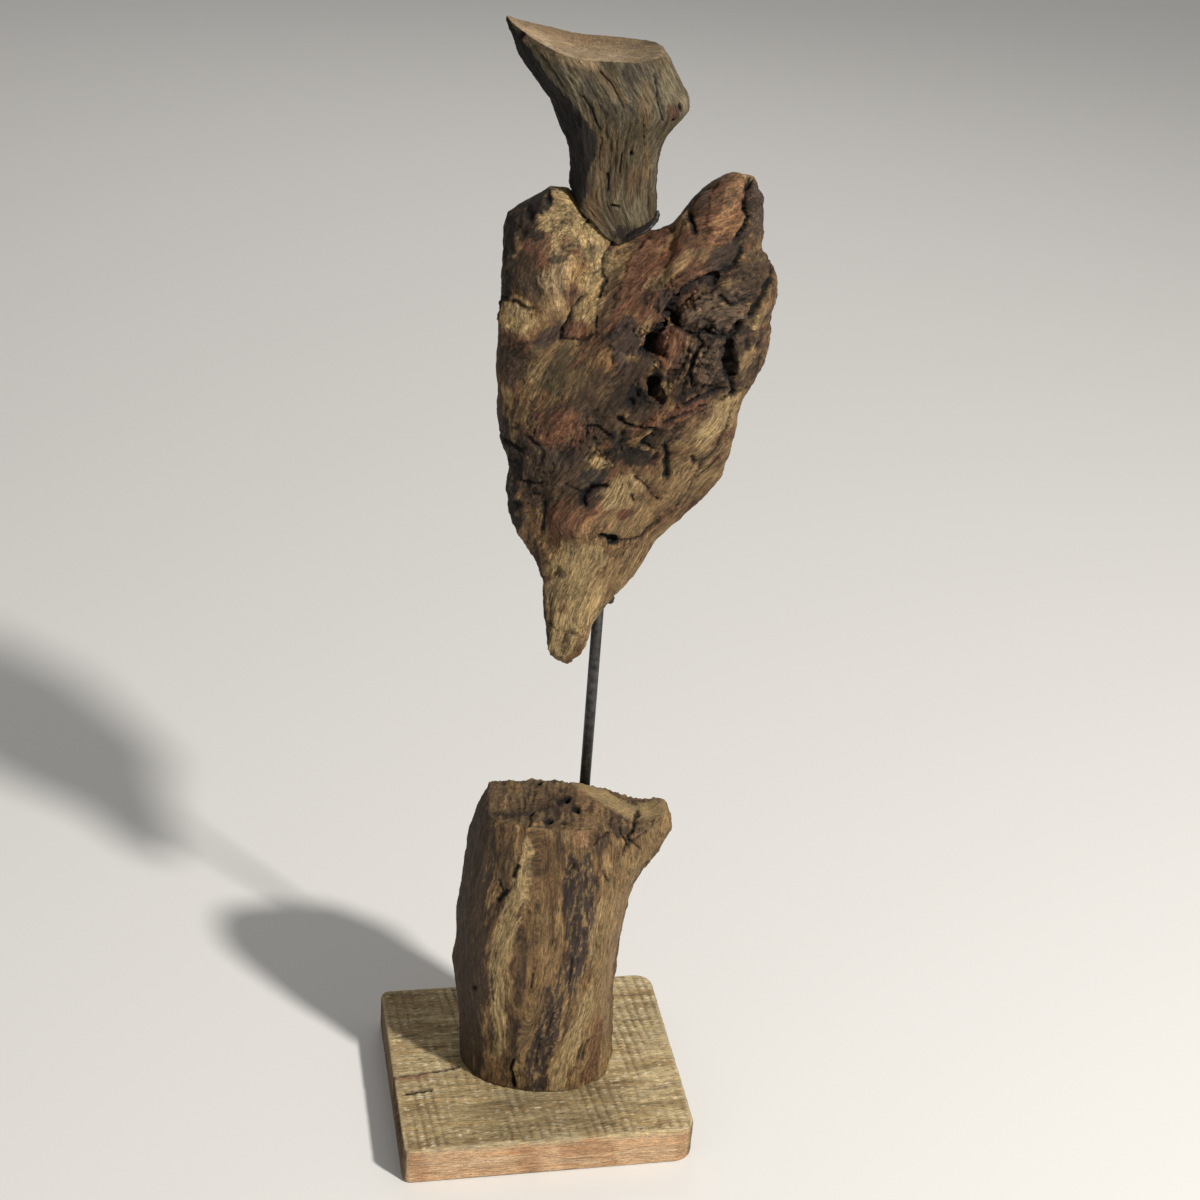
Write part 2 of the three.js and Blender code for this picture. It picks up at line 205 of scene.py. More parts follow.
def fine_copy(name, node, grid, passes):
    """A closed copy of a CAD node with an even fine mesh, and its facets smoothed away."""
    shape = bmesh.new()
    shape.from_mesh(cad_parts[node].data)
    bmesh.ops.remove_doubles(shape, verts=shape.verts, dist=1e-6)
    piece = new_piece(name, shape)
    remesh = piece.modifiers.new("fine grid", "REMESH")
    remesh.mode = "VOXEL"
    remesh.voxel_size = grid
    relax = piece.modifiers.new("relax", "SMOOTH")
    relax.factor = 0.5
    relax.iterations = passes
    settled = piece.evaluated_get(bpy.context.evaluated_depsgraph_get())
    mesh = bpy.data.meshes.new_from_object(settled)
    rough, piece.data = piece.data, mesh
    bpy.data.meshes.remove(rough)
    piece.modifiers.clear()
    mesh.name = name
    return piece


def read_vertices(piece):
    """The places and the normals of a piece's vertices, as two arrays."""
    found = []
    for kind in ("co", "normal"):
        values = np.empty(len(piece.data.vertices) * 3, np.float32)
        piece.data.vertices.foreach_get(kind, values)
        found.append(values.reshape(-1, 3).astype(float))
    return found


def write_points(piece, points):
    piece.data.vertices.foreach_set("co", points.astype(np.float32).ravel())
    piece.data.update()


def paint(piece, stain_and_shading, grain):
    """Gives every vertex its colour, stains with painted shade and highlights, and its place along the
    wood's fibres, which the finish reads.
    """
    colours = np.ones((len(stain_and_shading), 4), np.float32)
    colours[:, :3] = stain_and_shading
    layer = piece.data.attributes.new("stain_and_shading", "FLOAT_COLOR", "POINT")
    layer.data.foreach_set("color", colours.ravel())
    layer = piece.data.attributes.new("grain", "FLOAT_VECTOR", "POINT")
    layer.data.foreach_set("vector", grain.astype(np.float32).ravel())


def to_figure(points):
    """Points of the board's frame in millimetres of the figure's own frame: x right, y back, z up."""
    return turned_to_figure(points - STAND) / MM


def turned_to_figure(vectors):
    c, s = math.cos(-FACING), math.sin(-FACING)
    x, y, z = vectors.T
    return np.stack([c * x - s * y, s * x + c * y, z], 1)


# Fields of noise over many points at once

def scramble(cells, seed):
    """A whole number below 2 ** 24 for each cell, without any order, and always the same."""
    mixed = cells[..., 0] * 374761393 + cells[..., 1] * 668265263
    mixed = mixed + cells[..., 2] * 1442695041 + seed * 974634777
    mixed = ((mixed & 0xFFFFFFFF) ^ ((mixed & 0xFFFFFFFF) >> 13)) * 1274126177
    mixed = ((mixed & 0xFFFFFFFF) ^ ((mixed & 0xFFFFFFFF) >> 16)) * 2246822519
    return ((mixed & 0xFFFFFFFF) ^ ((mixed & 0xFFFFFFFF) >> 15)) & 0xFFFFFF


def drift(points, seed):
    """Smooth gradient noise between about -1 and 1."""
    cell = np.floor(points).astype(np.int64)
    local = points - cell
    ease = local ** 3 * (local * (local * 6 - 15) + 10)
    total = np.zeros(len(points))
    for corner in itertools.product((0, 1), repeat=3):
        here = cell + corner
        away = local - corner
        pull = sum((scramble(here, seed + axis) / 0x7FFFFF - 1) * away[:, axis] for axis in range(3))
        share = np.prod([ease[:, axis] if corner[axis] else 1 - ease[:, axis] for axis in range(3)], axis=0)
        total += pull * share
    return total * 1.6


def layered(points, seed, layers, fade=0.5):
    """Noise in layers, each half as wide as the last and fading in strength."""
    total = np.zeros(len(points))
    for layer in range(layers):
        total += fade ** layer * drift(points * 2 ** layer, seed + 11 * layer)
    return total


def two_fields(place, width, seed, layers):
    """Two unlike fields of the same width, to push places about along two axes."""
    return layered(place / width, seed, layers), layered(place / width + 40, seed + 1, layers)


def nearest_cells(points, seed):
    """Distances from each point to the nearest and the second nearest of one random seed per unit cell."""
    cell = np.floor(points).astype(np.int64)
    near = np.full(len(points), 9.0)
    second = near.copy()
    for step in itertools.product((-1, 0, 1), repeat=3):
        here = cell + step
        seeds = np.stack([here[:, axis] + scramble(here, seed + axis) / 0xFFFFFF for axis in range(3)], 1)
        gap = np.linalg.norm(points - seeds, axis=1)
        second = np.minimum(second, np.maximum(near, gap))
        near = np.minimum(near, gap)
    return near, second


def ease_between(low, high, values):
    """0 at the first bound and beyond it, 1 at the second, with a soft start and end between them."""
    share = np.clip((values - low) / (high - low), 0, 1)
    return share * share * (3 - 2 * share)


def terraced(values, steps, sharpness=0.75):
    """Values broken into ledges, as wood flakes off in layers."""
    scaled = values * steps
    floor = np.floor(scaled)
    return (floor + ease_between(sharpness * 0.5, 1 - sharpness * 0.5, scaled - floor)) / steps


def patch(x, z, at, size, turn=0.0):
    """1 in the middle of an oval patch, falling to 0 at its edge and below zero outside."""
    c, s = math.cos(math.radians(turn)), math.sin(math.radians(turn))
    dx, dz = x - at[0], z - at[1]
    return 1 - np.hypot((dx * c + dz * s) / size[0], (dz * c - dx * s) / size[1])


def streak(x, z, line):
    """1 along a tall streak through places of (height, x, half width), falling to 0 at its rim."""
    heights, middles, widths = (np.array(part, float) for part in zip(*line))
    beyond = np.maximum(heights[0] - z, 0) + np.maximum(z - heights[-1], 0)
    return 1 - np.abs(x - np.interp(z, heights, middles)) / np.interp(z, heights, widths) - beyond / 8


def gap_and_side(x, z, path):
    """The distance from a bent line through the places of a path, and the side of it, 1 or -1."""
    gap, side = np.full(len(x), FAR), np.zeros(len(x))
    for (x0, z0), (x1, z1) in zip(path, path[1:]):
        run = max((x1 - x0) ** 2 + (z1 - z0) ** 2, 1e-6)
        share = np.clip(((x - x0) * (x1 - x0) + (z - z0) * (z1 - z0)) / run, 0, 1)
        here = np.hypot(x - x0 - share * (x1 - x0), z - z0 - share * (z1 - z0))
        across = (x - x0) * (z1 - z0) - (z - z0) * (x1 - x0)
        side = np.where(here < gap, np.sign(across), side)
        gap = np.minimum(gap, here)
    return gap, side


def seam(x, z, path, width):
    """1 on a bent line through the places of a path, falling to 0 at the given distance from it."""
    return 1 - gap_and_side(x, z, path)[0] / width


def ledges(x, z, seams, reach):
    """Positive on one side of each crack of a list and negative on the other, fading over the reach."""
    total = np.zeros(len(x))
    for path, _, depth in seams:
        gap, side = gap_and_side(x, z, path)
        total += side * depth * ease_between(1, 0, gap / reach)
    return total


def sides_at(x, z, step=3.0):
    """The leftmost and the rightmost x of a piece at the height of each point."""
    levels = np.arange(z.min(), z.max() + step, step)
    slot = np.clip(((z - levels[0]) / step).astype(int), 0, len(levels) - 2)
    left, right = np.full(len(levels) - 1, 1e9), np.full(len(levels) - 1, -1e9)
    np.minimum.at(left, slot, x)
    np.maximum.at(right, slot, x)
    even = np.ones(3) / 3
    left = np.convolve(np.pad(left, 1, mode="edge"), even, "valid")
    right = np.convolve(np.pad(right, 1, mode="edge"), even, "valid")
    return np.interp(z, levels[:-1] + step / 2, left), np.interp(z, levels[:-1] + step / 2, right)


def blend_in(stain_and_shading, colour, amount):
    """Moves each vertex's colour towards a given colour by its own amount."""
    amount = np.clip(amount, 0, 1)[:, None]
    return stain_and_shading * (1 - amount) + np.array(colour) * amount


def stained_and_shaded(stain_and_shading, x, z, patches, ragged):
    """Lays ragged-edged patches of (colour, place, half sizes, turn, strength), stains and painted shade,
    over a colour.
    """
    for colour, at, size, turn, strength in patches:
        inside = patch(x, z, at, size, turn) + ragged
        stain_and_shading = blend_in(stain_and_shading, colour, strength * ease_between(0.0, 0.24, inside))
    return stain_and_shading


def streaked(stain_and_shading, x, z, streaks, ragged, soft):
    """Lays ragged-edged tall streaks of (colour, places, strength), stains and painted shade, over a
    colour.
    """
    for colour, line, strength in streaks:
        inside = streak(x, z, line) + ragged
        stain_and_shading = blend_in(stain_and_shading, colour, strength * ease_between(0.0, soft, inside))
    return stain_and_shading


def carved(x, z, seams, ragged):
    """The depth of cracks given as (path, half width, depth in millimetres)."""
    deep = np.zeros(len(x))
    for path, width, depth in seams:
        deep = np.maximum(deep, depth * ease_between(-0.15, 0.7, seam(x, z, path, width) + ragged))
    return deep


def pitted(x, z, pits, ragged):
    """The depth of oval pits given as (place, half sizes, turn, depth in millimetres)."""
    deep = np.zeros(len(x))
    for at, size, turn, depth in pits:
        deep = np.maximum(deep, depth * ease_between(-0.1, 0.7, patch(x, z, at, size, turn) + ragged))
    return deep


# Finishes

def new_finish(name):
    finish = bpy.data.materials.new(name)
    finish.use_nodes = True
    return finish, finish.node_tree, finish.node_tree.nodes["Principled BSDF"]


def plain_finish(name, colour, roughness):
    finish, _, shader = new_finish(name)
    shader.inputs["Base Color"].default_value = (*colour, 1)
    shader.inputs["Roughness"].default_value = roughness
    return finish


def link(tree, source, output, target, socket):
    tree.links.new(source.outputs[output], target.inputs[socket])


def piece_place(tree):
    return tree.nodes.new("ShaderNodeTexCoord").outputs["Object"]


def noise_node(tree, coordinates, scale, detail, roughness=0.6, distortion=0.0):
    node = tree.nodes.new("ShaderNodeTexNoise")
    node.inputs["Scale"].default_value = scale
    node.inputs["Detail"].default_value = detail
    node.inputs["Roughness"].default_value = roughness
    node.inputs["Distortion"].default_value = distortion
    tree.links.new(coordinates, node.inputs["Vector"])
    return node


def ramp_node(tree, value, stops):
    """A ramp through stops of (place, grey level or colour)."""
    node = tree.nodes.new("ShaderNodeValToRGB")
    node.color_ramp.elements.remove(node.color_ramp.elements[1])
    for index, (place, level) in enumerate(stops):
        element = node.color_ramp.elements[0] if index == 0 else node.color_ramp.elements.new(place)
        element.position = place
        element.color = (*([level] * 3), 1) if isinstance(level, (int, float)) else (*level, 1)
    tree.links.new(value, node.inputs["Fac"])
    return node


def mix_node(tree, mode, factor, first, second):
    node = tree.nodes.new("ShaderNodeMix")
    node.data_type = "RGBA"
    node.blend_type = mode
    for key, value in (("Factor", factor), ("A", first), ("B", second)):
        socket = node.inputs[key]
        if isinstance(value, bpy.types.NodeSocket):
            tree.links.new(value, socket)
        elif isinstance(value, tuple):
            socket.default_value = (*value, 1)
        else:
            socket.default_value = value
    return node.outputs["Result"]


def raise_relief(tree, shader, source, output, strength, distance):
    bump = tree.nodes.new("ShaderNodeBump")
    bump.inputs["Strength"].default_value = strength
    bump.inputs["Distance"].default_value = distance
    link(tree, source, output, bump, "Height")
    link(tree, bump, "Normal", shader, "Normal")


def wood_finish(name, fibre, contrast, roughness, relief, checks):
    """Weathered wood: the painted stains, shade and highlights, with fine fibres and thin drying checks
    that follow the grain.
    """
    finish, tree, shader = new_finish(name)
    stain_and_shading = tree.nodes.new("ShaderNodeAttribute")
    stain_and_shading.attribute_name = "stain_and_shading"
    grain = tree.nodes.new("ShaderNodeAttribute")
    grain.attribute_name = "grain"
    where = grain.outputs["Vector"]
    fibres = noise_node(tree, where, 0.85 * fibre, 6, 0.74, 0.3)
    strands = noise_node(tree, where, 2.4 * fibre, 4, 0.7)
    clouds = noise_node(tree, where, 0.12 * fibre, 3, 0.6, 0.5)
    lines = noise_node(tree, where, 0.30 * fibre, 4, 0.62, 0.4)
    spread = noise_node(tree, where, 0.075 * fibre, 3, 0.6)
    specks = noise_node(tree, piece_place(tree), 900, 3, 0.6)
    dark_fibres = ramp_node(
        tree, fibres.outputs["Fac"], ((0.30, 0.18), (0.44, 0.70), (0.54, 1.10), (0.70, 1.60)))
    dark_strands = ramp_node(tree, strands.outputs["Fac"], ((0.30, 0.40), (0.5, 0.98), (0.72, 1.45)))
    tone = ramp_node(
        tree, clouds.outputs["Fac"], ((0.3, (0.74, 0.74, 0.72)), (0.5, 1.0), (0.7, (1.22, 1.12, 1.0))))
    grit = ramp_node(tree, specks.outputs["Fac"], ((0.3, 0.80), (0.55, 1.0), (0.75, 1.14)))
    thin = ramp_node(tree, lines.outputs["Fac"], ((0.482, 1.0), (0.5, 0.0), (0.518, 1.0)))
    hair = noise_node(tree, where, 0.62 * fibre, 3, 0.6, 0.6)
    hairs = ramp_node(tree, hair.outputs["Fac"], ((0.484, 1.0), (0.5, 0.25), (0.516, 1.0)))
    where_checked = ramp_node(tree, spread.outputs["Fac"], ((0.47, 0.0), (0.56, 1.0)))
    colour = mix_node(tree, "MULTIPLY", contrast, stain_and_shading.outputs["Color"], dark_fibres.outputs["Color"])
    colour = mix_node(tree, "MULTIPLY", contrast, colour, dark_strands.outputs["Color"])
    colour = mix_node(tree, "MULTIPLY", 0.8, colour, tone.outputs["Color"])
    colour = mix_node(tree, "MULTIPLY", 0.8, colour, grit.outputs["Color"])
    colour = mix_node(tree, "MULTIPLY", 0.8 * checks, colour, hairs.outputs["Color"])
    check = tree.nodes.new("ShaderNodeMath")
    check.operation = "MULTIPLY"
    link(tree, where_checked, "Color", check, 0)
    check.inputs[1].default_value = checks
    cracked = mix_node(tree, "MULTIPLY", check.outputs["Value"], colour, thin.outputs["Color"])
    tree.links.new(cracked, shader.inputs["Base Color"])
    gloss = tree.nodes.new("ShaderNodeMapRange")
    gloss.inputs["To Min"].default_value = roughness[1]
    gloss.inputs["To Max"].default_value = roughness[0]
    link(tree, fibres, "Fac", gloss, "Value")
    link(tree, gloss, "Result", shader, "Roughness")
    shader.inputs["Specular IOR Level"].default_value = 0.35
    height = tree.nodes.new("ShaderNodeMath")
    height.operation = "MULTIPLY_ADD"
    height.inputs[1].default_value = 0.45
    link(tree, strands, "Fac", height, 0)
    link(tree, fibres, "Fac", height, 2)
    sunk = tree.nodes.new("ShaderNodeMath")
    sunk.operation = "MULTIPLY_ADD"
    sunk.inputs[1].default_value = 0.35 * checks
    link(tree, thin, "Color", sunk, 0)
    link(tree, height, "Value", sunk, 2)
    raise_relief(tree, shader, sunk, "Value", relief, 1.2 * MM)
    return finish


def steel_finish():
    finish, tree, shader = new_finish("raw_steel")
    place = piece_place(tree)
    scale = noise_node(tree, place, 260, 5, 0.7)
    specks = noise_node(tree, place, 900, 2, 0.5)
    skin = ramp_node(
        tree, scale.outputs["Fac"], ((0.35, (0.030, 0.029, 0.028)), (0.6, (0.085, 0.083, 0.080))))
    dots = ramp_node(tree, specks.outputs["Fac"], ((0.70, 0.0), (0.76, 1.0)))
    colour = mix_node(tree, "MIX", dots.outputs["Color"], skin.outputs["Color"], (0.34, 0.32, 0.30))
    tree.links.new(colour, shader.inputs["Base Color"])
    shader.inputs["Metallic"].default_value = 0.75
    rough = ramp_node(tree, scale.outputs["Fac"], ((0.3, 0.62), (0.7, 0.42)))
    link(tree, rough, "Color", shader, "Roughness")
    raise_relief(tree, shader, scale, "Fac", 0.25, 0.4 * MM)
    return finish


def putty_finish():
    finish, tree, shader = new_finish("black_putty")
    lumps = noise_node(tree, piece_place(tree), 700, 3)
    skin = ramp_node(
        tree, lumps.outputs["Fac"], ((0.3, (0.006, 0.006, 0.006)), (0.7, (0.022, 0.020, 0.018))))
    link(tree, skin, "Color", shader, "Base Color")
    shader.inputs["Roughness"].default_value = 0.42
    raise_relief(tree, shader, lumps, "Fac", 0.4, 0.5 * MM)
    return finish


# The torso

# Stains of its front, in hundredths of its height: colour, place, half sizes, turn, strength; its
# near-black patches are painted shade
TORSO_STAINS = (
    (UMBER, (13, 58), (16, 15), 30, 0.9),
    (RUST, (7, 66), (15, 8), 56, 0.75),
    (UMBER, (1, 46), (15, 8), 25, 0.85),
    (UMBER, (-10, 30), (11, 12), 0, 0.9),
    (STRAW, (-9, 76), (8, 7), -10, 0.95),
    (STRAW, (-5.6, 65), (2.6, 9), -12, 0.85),
    (BISCUIT, (-12.5, 66), (4, 5), 0, 0.7),
    (RUST, (-15.6, 72.3), (3.4, 3.2), 0, 0.85),
    (RUST, (-10.3, 73.4), (1.6, 1.4), 0, 0.6),
    (OLIVE, (-7.4, 71.4), (2.2, 1.8), 20, 0.75),
    (OLIVE, (-10.6, 77), (1.6, 1.6), 0, 0.6),
    # Painted shade in a small crevice
    (NEAR_BLACK, (-11.3, 70.6), (2.0, 0.9), 10, 0.8),
    (UMBER, (-17.5, 67), (3.2, 4.4), 0, 0.85),
    (RUST, (-8.8, 64.6), (1.6, 2.4), 0, 0.8),
    # Painted shade at the top of the left lobe, where its shaded side wall begins
    (NEAR_BLACK, (-18.0, 79.4), (4.6, 3.4), 20, 0.97),
    (NEAR_BLACK, (-17.4, 75.8), (2.8, 3.0), 0, 0.9),
    (UMBER, (-15.4, 63.6), (3.0, 1.6), 0, 0.8),
    (STRAW, (-17.6, 58.6), (2.8, 4.2), 0, 0.95),
    (RUST, (-18, 54), (3.2, 2.2), 0, 0.85),
    (PLUM, (-18.6, 49.4), (3.0, 4.0), 0, 0.8),
    (TAN, (-12.4, 62), (2.6, 3.2), 0, 0.7),
    (PLUM, (-12.2, 56.4), (1.9, 3.4), -38, 0.95),
    (RUST, (-7.2, 58.0), (2.8, 2.0), 10, 0.95),
    (TAN, (-9.6, 55.2), (1.8, 0.7), -20, 0.7),
    (OLIVE, (-10.2, 49.6), (5.6, 6.0), 20, 0.85),
    (TAN, (-12.6, 52.0), (1.4, 4.0), -25, 0.6),
    (UMBER, (-6, 43.5), (4, 4), 0, 0.7),
    (RUST, (-9.5, 38.4), (5.4, 4.2), 10, 0.85),
    (UMBER, (-1.6, 74.2), (2.2, 1.8), 0, 0.8),
    (HONEY, (1.2, 73.6), (1.6, 3.4), -20, 0.8),
    (RUST, (3.4, 71.0), (2.6, 9.5), -32, 0.9),
    (RUST, (1.4, 66.2), (3.6, 2.6), 20, 0.85),
    (UMBER, (-2.0, 62.6), (1.2, 6), -14, 0.7),
    (TAN, (8.6, 70.6), (1.3, 6.0), -44, 0.75),
    (OLIVE, (12.3, 74.3), (2.0, 1.8), 0, 0.7),
    (RUST, (15.6, 80), (5.4, 6.6), -20, 0.8),
    (FLESH, (16.8, 80.6), (1.8, 5.6), -16, 0.38),
    (UMBER, (11.4, 82.6), (2.4, 3.0), -30, 0.8),
    (PLUM, (22.6, 80.4), (2.2, 6.4), 4, 0.9),
    (PLUM, (17.4, 73.6), (5.0, 2.4), 40, 0.85),
    (UMBER, (22.5, 70), (4.4, 4.6), 0, 0.85),
    (PLUM, (1.2, 57.6), (3.4, 5.0), -12, 0.95),
    (TAN, (4.3, 59.6), (0.9, 2.2), -8, 0.75),
    (PLUM, (7.8, 65.2), (1.8, 2.2), 0, 0.85),
    (TAN, (8.2, 61.2), (2.0, 0.7), 20, 0.7),
    (BURL_BROWN, (15.8, 63.4), (6.4, 5.2), 20, 0.9),
    (RUST, (11.5, 65.2), (1.5, 2.2), -30, 0.85),
    (UMBER, (14, 54), (9, 7), 0, 0.85),
    (RUST, (9.3, 56.6), (3.2, 4.2), -8, 0.9),
    (KNOT_BROWN, (15.6, 53.4), (2.6, 4.2), 0, 0.8),
    # Painted shade in a hollow by the cracks on the right
    (NEAR_BLACK, (22.2, 60.4), (1.6, 1.6), 0, 0.8),
    (TAN, (24.6, 63.4), (1.3, 4.6), -8, 0.6),
    (TAN, (22.8, 53.8), (2.0, 3.4), -10, 0.65),
    (STRAW, (6.2, 53.3), (0.6, 1.1), 0, 0.9),
    (TAN, (9.2, 48.6), (1.6, 1.5), 0, 0.85),
    # Painted shade in the cluster of pits
    (NEAR_BLACK, (3.0, 46.2), (2.6, 2.8), -20, 0.8),
    (TAN, (3.4, 41.6), (1.4, 1.0), 0, 0.7),
    (RUST, (10.6, 43.8), (2.2, 8.0), -58, 0.9),
    (UMBER, (9.4, 39.4), (1.6, 6.0), -66, 0.8),
    (STRAW, (18.4, 41.5), (2.8, 7.4), -26, 0.85),
    (TAN, (14.6, 31), (4.6, 7.6), -34, 0.85),
    # Painted shade in the crevices under the cracks
    (NEAR_BLACK, (3.8, 34.9), (5.6, 2.4), -8, 0.95),
    (NEAR_BLACK, (0.8, 37.8), (1.6, 1.8), 0, 0.85),
    (STRAW, (-2.2, 32.6), (2.2, 1.3), -18, 0.9),
    (SLATE, (-3.2, 29.4), (2.6, 1.9), 10, 0.95),
    (UMBER, (-12.4, 29.8), (4.6, 5.4), 0, 0.85),
    (PLUM, (-9, 33), (3.6, 2.4), 10, 0.6),
    (RUST, (-7.0, 20.6), (3.6, 4.4), -10, 0.95),
    (FLESH, (-2.2, 21.0), (1.3, 5.4), -24, 0.5),
    (HONEY, (-12.2, 16.6), (2.8, 2.8), 0, 0.7),
    (STRAW, (3.0, 27), (3.4, 4.2), -30, 0.8),
    (TAN, (5.0, 20.0), (5.4, 4.2), 0, 0.8),
    (RUST, (3.6, 22.7), (1.8, 1.1), 18, 0.95),
    (STRAW, (-4.4, 8.6), (5.6, 8.6), -20, 0.9),
    (TAN, (4.4, 10.6), (3.4, 5.4), -30, 0.75),
    (STRAW, (-2.2, 1.6), (3.6, 7.0), -14, 0.9),
    (UMBER, (-6.6, -3.0), (3.4, 0.9), 4, 0.55),
    (STRAW, (-6.6, -4.6), (3.6, 5.6), 0, 0.85),
    (UMBER, (-7.4, 8.6), (1.2, 1.2), 0, 0.6),
    (SLATE, (2.6, 0.6), (1.6, 1.6), 0, 0.9),
)

# Painted shade in streaks down its shaded left flank: colour, places of (height, x, half width), strength
TORSO_FLANK_SHADE = (
    (NEAR_BLACK, ((60.5, -22, 2.6), (79, -21.2, 2.6)), 0.97),
    (NEAR_BLACK, ((17, -17.6, 2.8), (22, -19, 3.2), (30, -18.6, 2.8), (35, -19.6, 1.6)), 0.95),
    (UMBER, ((35, -21.2, 2.0), (46, -22, 2.0), (56, -22.2, 1.6)), 0.9),
    (NEAR_BLACK, ((-6, -10.2, 1.3), (2, -11.2, 1.4), (9, -12.4, 1.3)), 0.8),
)

# Cracks of its front: path, half width, depth in millimetres
TORSO_SEAMS = (
    (((15.6, 69.6), (13.1, 68.3), (10.8, 66.4), (8.5, 64.3), (7.8, 62.4), (9.8, 60.9)), 0.95, 4.0),
    (((15.6, 69.6), (19.0, 71.4), (20.2, 74.5)), 0.42, 2.0),
    (((21.2, 87.4), (19.9, 84.0), (19.6, 81.2), (20.5, 79.6), (19.9, 77.9), (18.7, 76.0)), 0.55, 3.2),
    (((26.2, 70.0), (24.6, 66.8), (22.6, 63.3)), 0.8, 3.2),
    (((20.9, 61.5), (18.8, 59.0), (19.0, 54.5), (20.2, 50.8), (21.0, 47.6)), 0.85, 3.8),
    (((7.0, 60.5), (6.0, 58.0), (4.8, 56.0)), 0.95, 3.6),
    (((10.0, 80.0), (11.3, 76.4)), 0.5, 2.2),
    (((13.6, 57.4), (13.0, 54.0), (13.3, 50.0)), 0.4, 2.4),
    (((10.4, 60.6), (12.4, 59.0), (14.6, 60.4), (18.6, 59.4)), 0.4, 2.2),
    (((-3.8, 68.8), (-3.1, 66.8), (-4.3, 64.2)), 0.32, 1.6),
    (((-2.2, 73.2), (-3.8, 70.8), (-4.0, 68.8)), 0.3, 1.4),
    (((-6.0, 77.6), (-7.4, 75.6)), 0.35, 1.4),
    (((-7.0, 63.6), (-8.5, 61.7), (-9.0, 59.5), (-10.4, 57.2), (-10.2, 55.8)), 0.45, 2.2),
    (((-4.4, 60.6), (-4.4, 57.8), (-6.2, 56.2), (-10.0, 55.9)), 0.28, 1.2),
    (((1.0, 41.5), (5.0, 41.0), (7.6, 41.3), (5.4, 37.5), (7.6, 36.5)), 0.42, 2.2),
    (((-0.3, 39.0), (-2.6, 40.4), (-4.7, 40.2), (-5.0, 37.8)), 0.36, 1.8),
    (((9.7, 37.4), (10.4, 34.0), (10.8, 30.4)), 0.7, 2.4),
    (((-0.4, 28.2), (-2.8, 27.7), (-4.5, 26.0), (-4.1, 24.4)), 0.6, 2.4),
    (((-7.4, 27.8), (-5.0, 26.6)), 0.32, 1.4),
    (((-0.3, 17.9), (1.4, 17.2), (2.5, 16.3)), 0.75, 3.0),
    (((2.5, 16.3), (5.2, 16.5), (7.0, 17.2), (8.6, 18.6), (10.0, 20.0)), 0.26, 1.4),
    (((10.0, 20.0), (13.0, 22.8), (14.7, 27.0), (15.3, 29.0), (17.0, 33.4)), 0.17, 1.0),
    (((17.0, 33.4), (19.2, 36.8), (20.5, 40.3), (20.8, 44.0)), 0.20, 1.2),
    (((16.0, 29.6), (17.8, 31.8), (19.6, 34.0)), 0.26, 1.2),
    (((5.0, 30.3), (6.9, 28.4), (9.5, 25.3)), 0.26, 1.4),
    (((15.0, 34.6), (15.6, 33.4)), 0.4, 1.4),
    (((4.4, 26.8), (4.8, 25.6)), 0.35, 1.4),
    (((-9.2, -2.2), (-7.4, -3.0)), 0.26, 0.7),
    (((-6.4, -2.6), (-4.4, -3.4), (-3.0, -3.0)), 0.2, 0.6),
    (((-11.4, 23.0), (-11.2, 20.0), (-11.6, 17.0)), 0.4, 1.4),
    (((-14.6, 36.6), (-12.0, 34.0), (-13.0, 31.0)), 0.4, 1.4),
    (((-15.4, 26.6), (-12.0, 27.0)), 0.4, 1.4),
    (((-20.8, 61.0), (-17.8, 61.9), (-15.6, 61.0)), 0.5, 1.6),
    (((-21.0, 33.4), (-18.6, 33.9), (-16.4, 33.0)), 0.45, 1.8),
    (((12.0, 45.6), (16.0, 48.2), (19.6, 49.6)), 0.42, 2.0),
    (((9.0, 42.4), (13.0, 44.6), (16.0, 46.2)), 0.35, 1.6),
    (((16.4, 66.6), (18.6, 65.0), (21.0, 66.0)), 0.35, 1.8),
)

# Drying cracks of its back: path, half width, depth in millimetres
TORSO_BACK_SEAMS = (
    (((-9, 74), (-7, 64), (-8, 52), (-6, 44)), 0.42, 2.2),
    (((9, 68), (8, 58), (6, 50)), 0.36, 1.8),
    (((-1, 40), (-2, 28), (-1, 18)), 0.36, 2.0),
    (((15, 78), (16, 70), (15, 64)), 0.3, 1.4),
    (((3, 60), (2, 50), (0, 44)), 0.22, 1.2),
    (((-14, 58), (-13, 46)), 0.26, 1.4),
    (((14, 52), (12, 42), (9, 34)), 0.3, 1.6),
    (((-8, 34), (-7, 22)), 0.24, 1.2),
    (((-5, 8), (-5, -2)), 0.24, 1.0),
)

# Rotted pits of its front: place, half sizes, turn, depth in millimetres
TORSO_PITS = (
    ((6.8, 49.6), (1.3, 3.2), -6, 4.4),
    ((4.7, 56.0), (1.2, 1.1), 0, 3.4),
    ((8.6, 63.6), (1.3, 1.3), 0, 3.2),
    ((-13.7, 79.7), (0.9, 1.3), 10, 2.0),
    ((-11.5, 82.0), (1.1, 0.8), -40, 1.8),
    ((-17.0, 77.2), (1.2, 1.4), 0, 1.6),
    ((24.5, 56.6), (0.9, 0.8), 0, 2.4),
    ((2.6, 45.4), (1.2, 0.8), 30, 2.4),
    ((4.2, 47.4), (0.8, 1.3), 0, 2.2),
    ((1.2, 42.0), (0.9, 0.7), 0, 1.8),
    ((22.4, 57.4), (0.7, 1.6), 0, 2.2),
    ((1.4, 37.4), (0.8, 1.2), 0, 1.8),
    ((-10.3, 5.3), (0.7, 0.9), 0, 1.2),
    ((-16.2, 21.4), (1.2, 1.0), 0, 1.4),
)

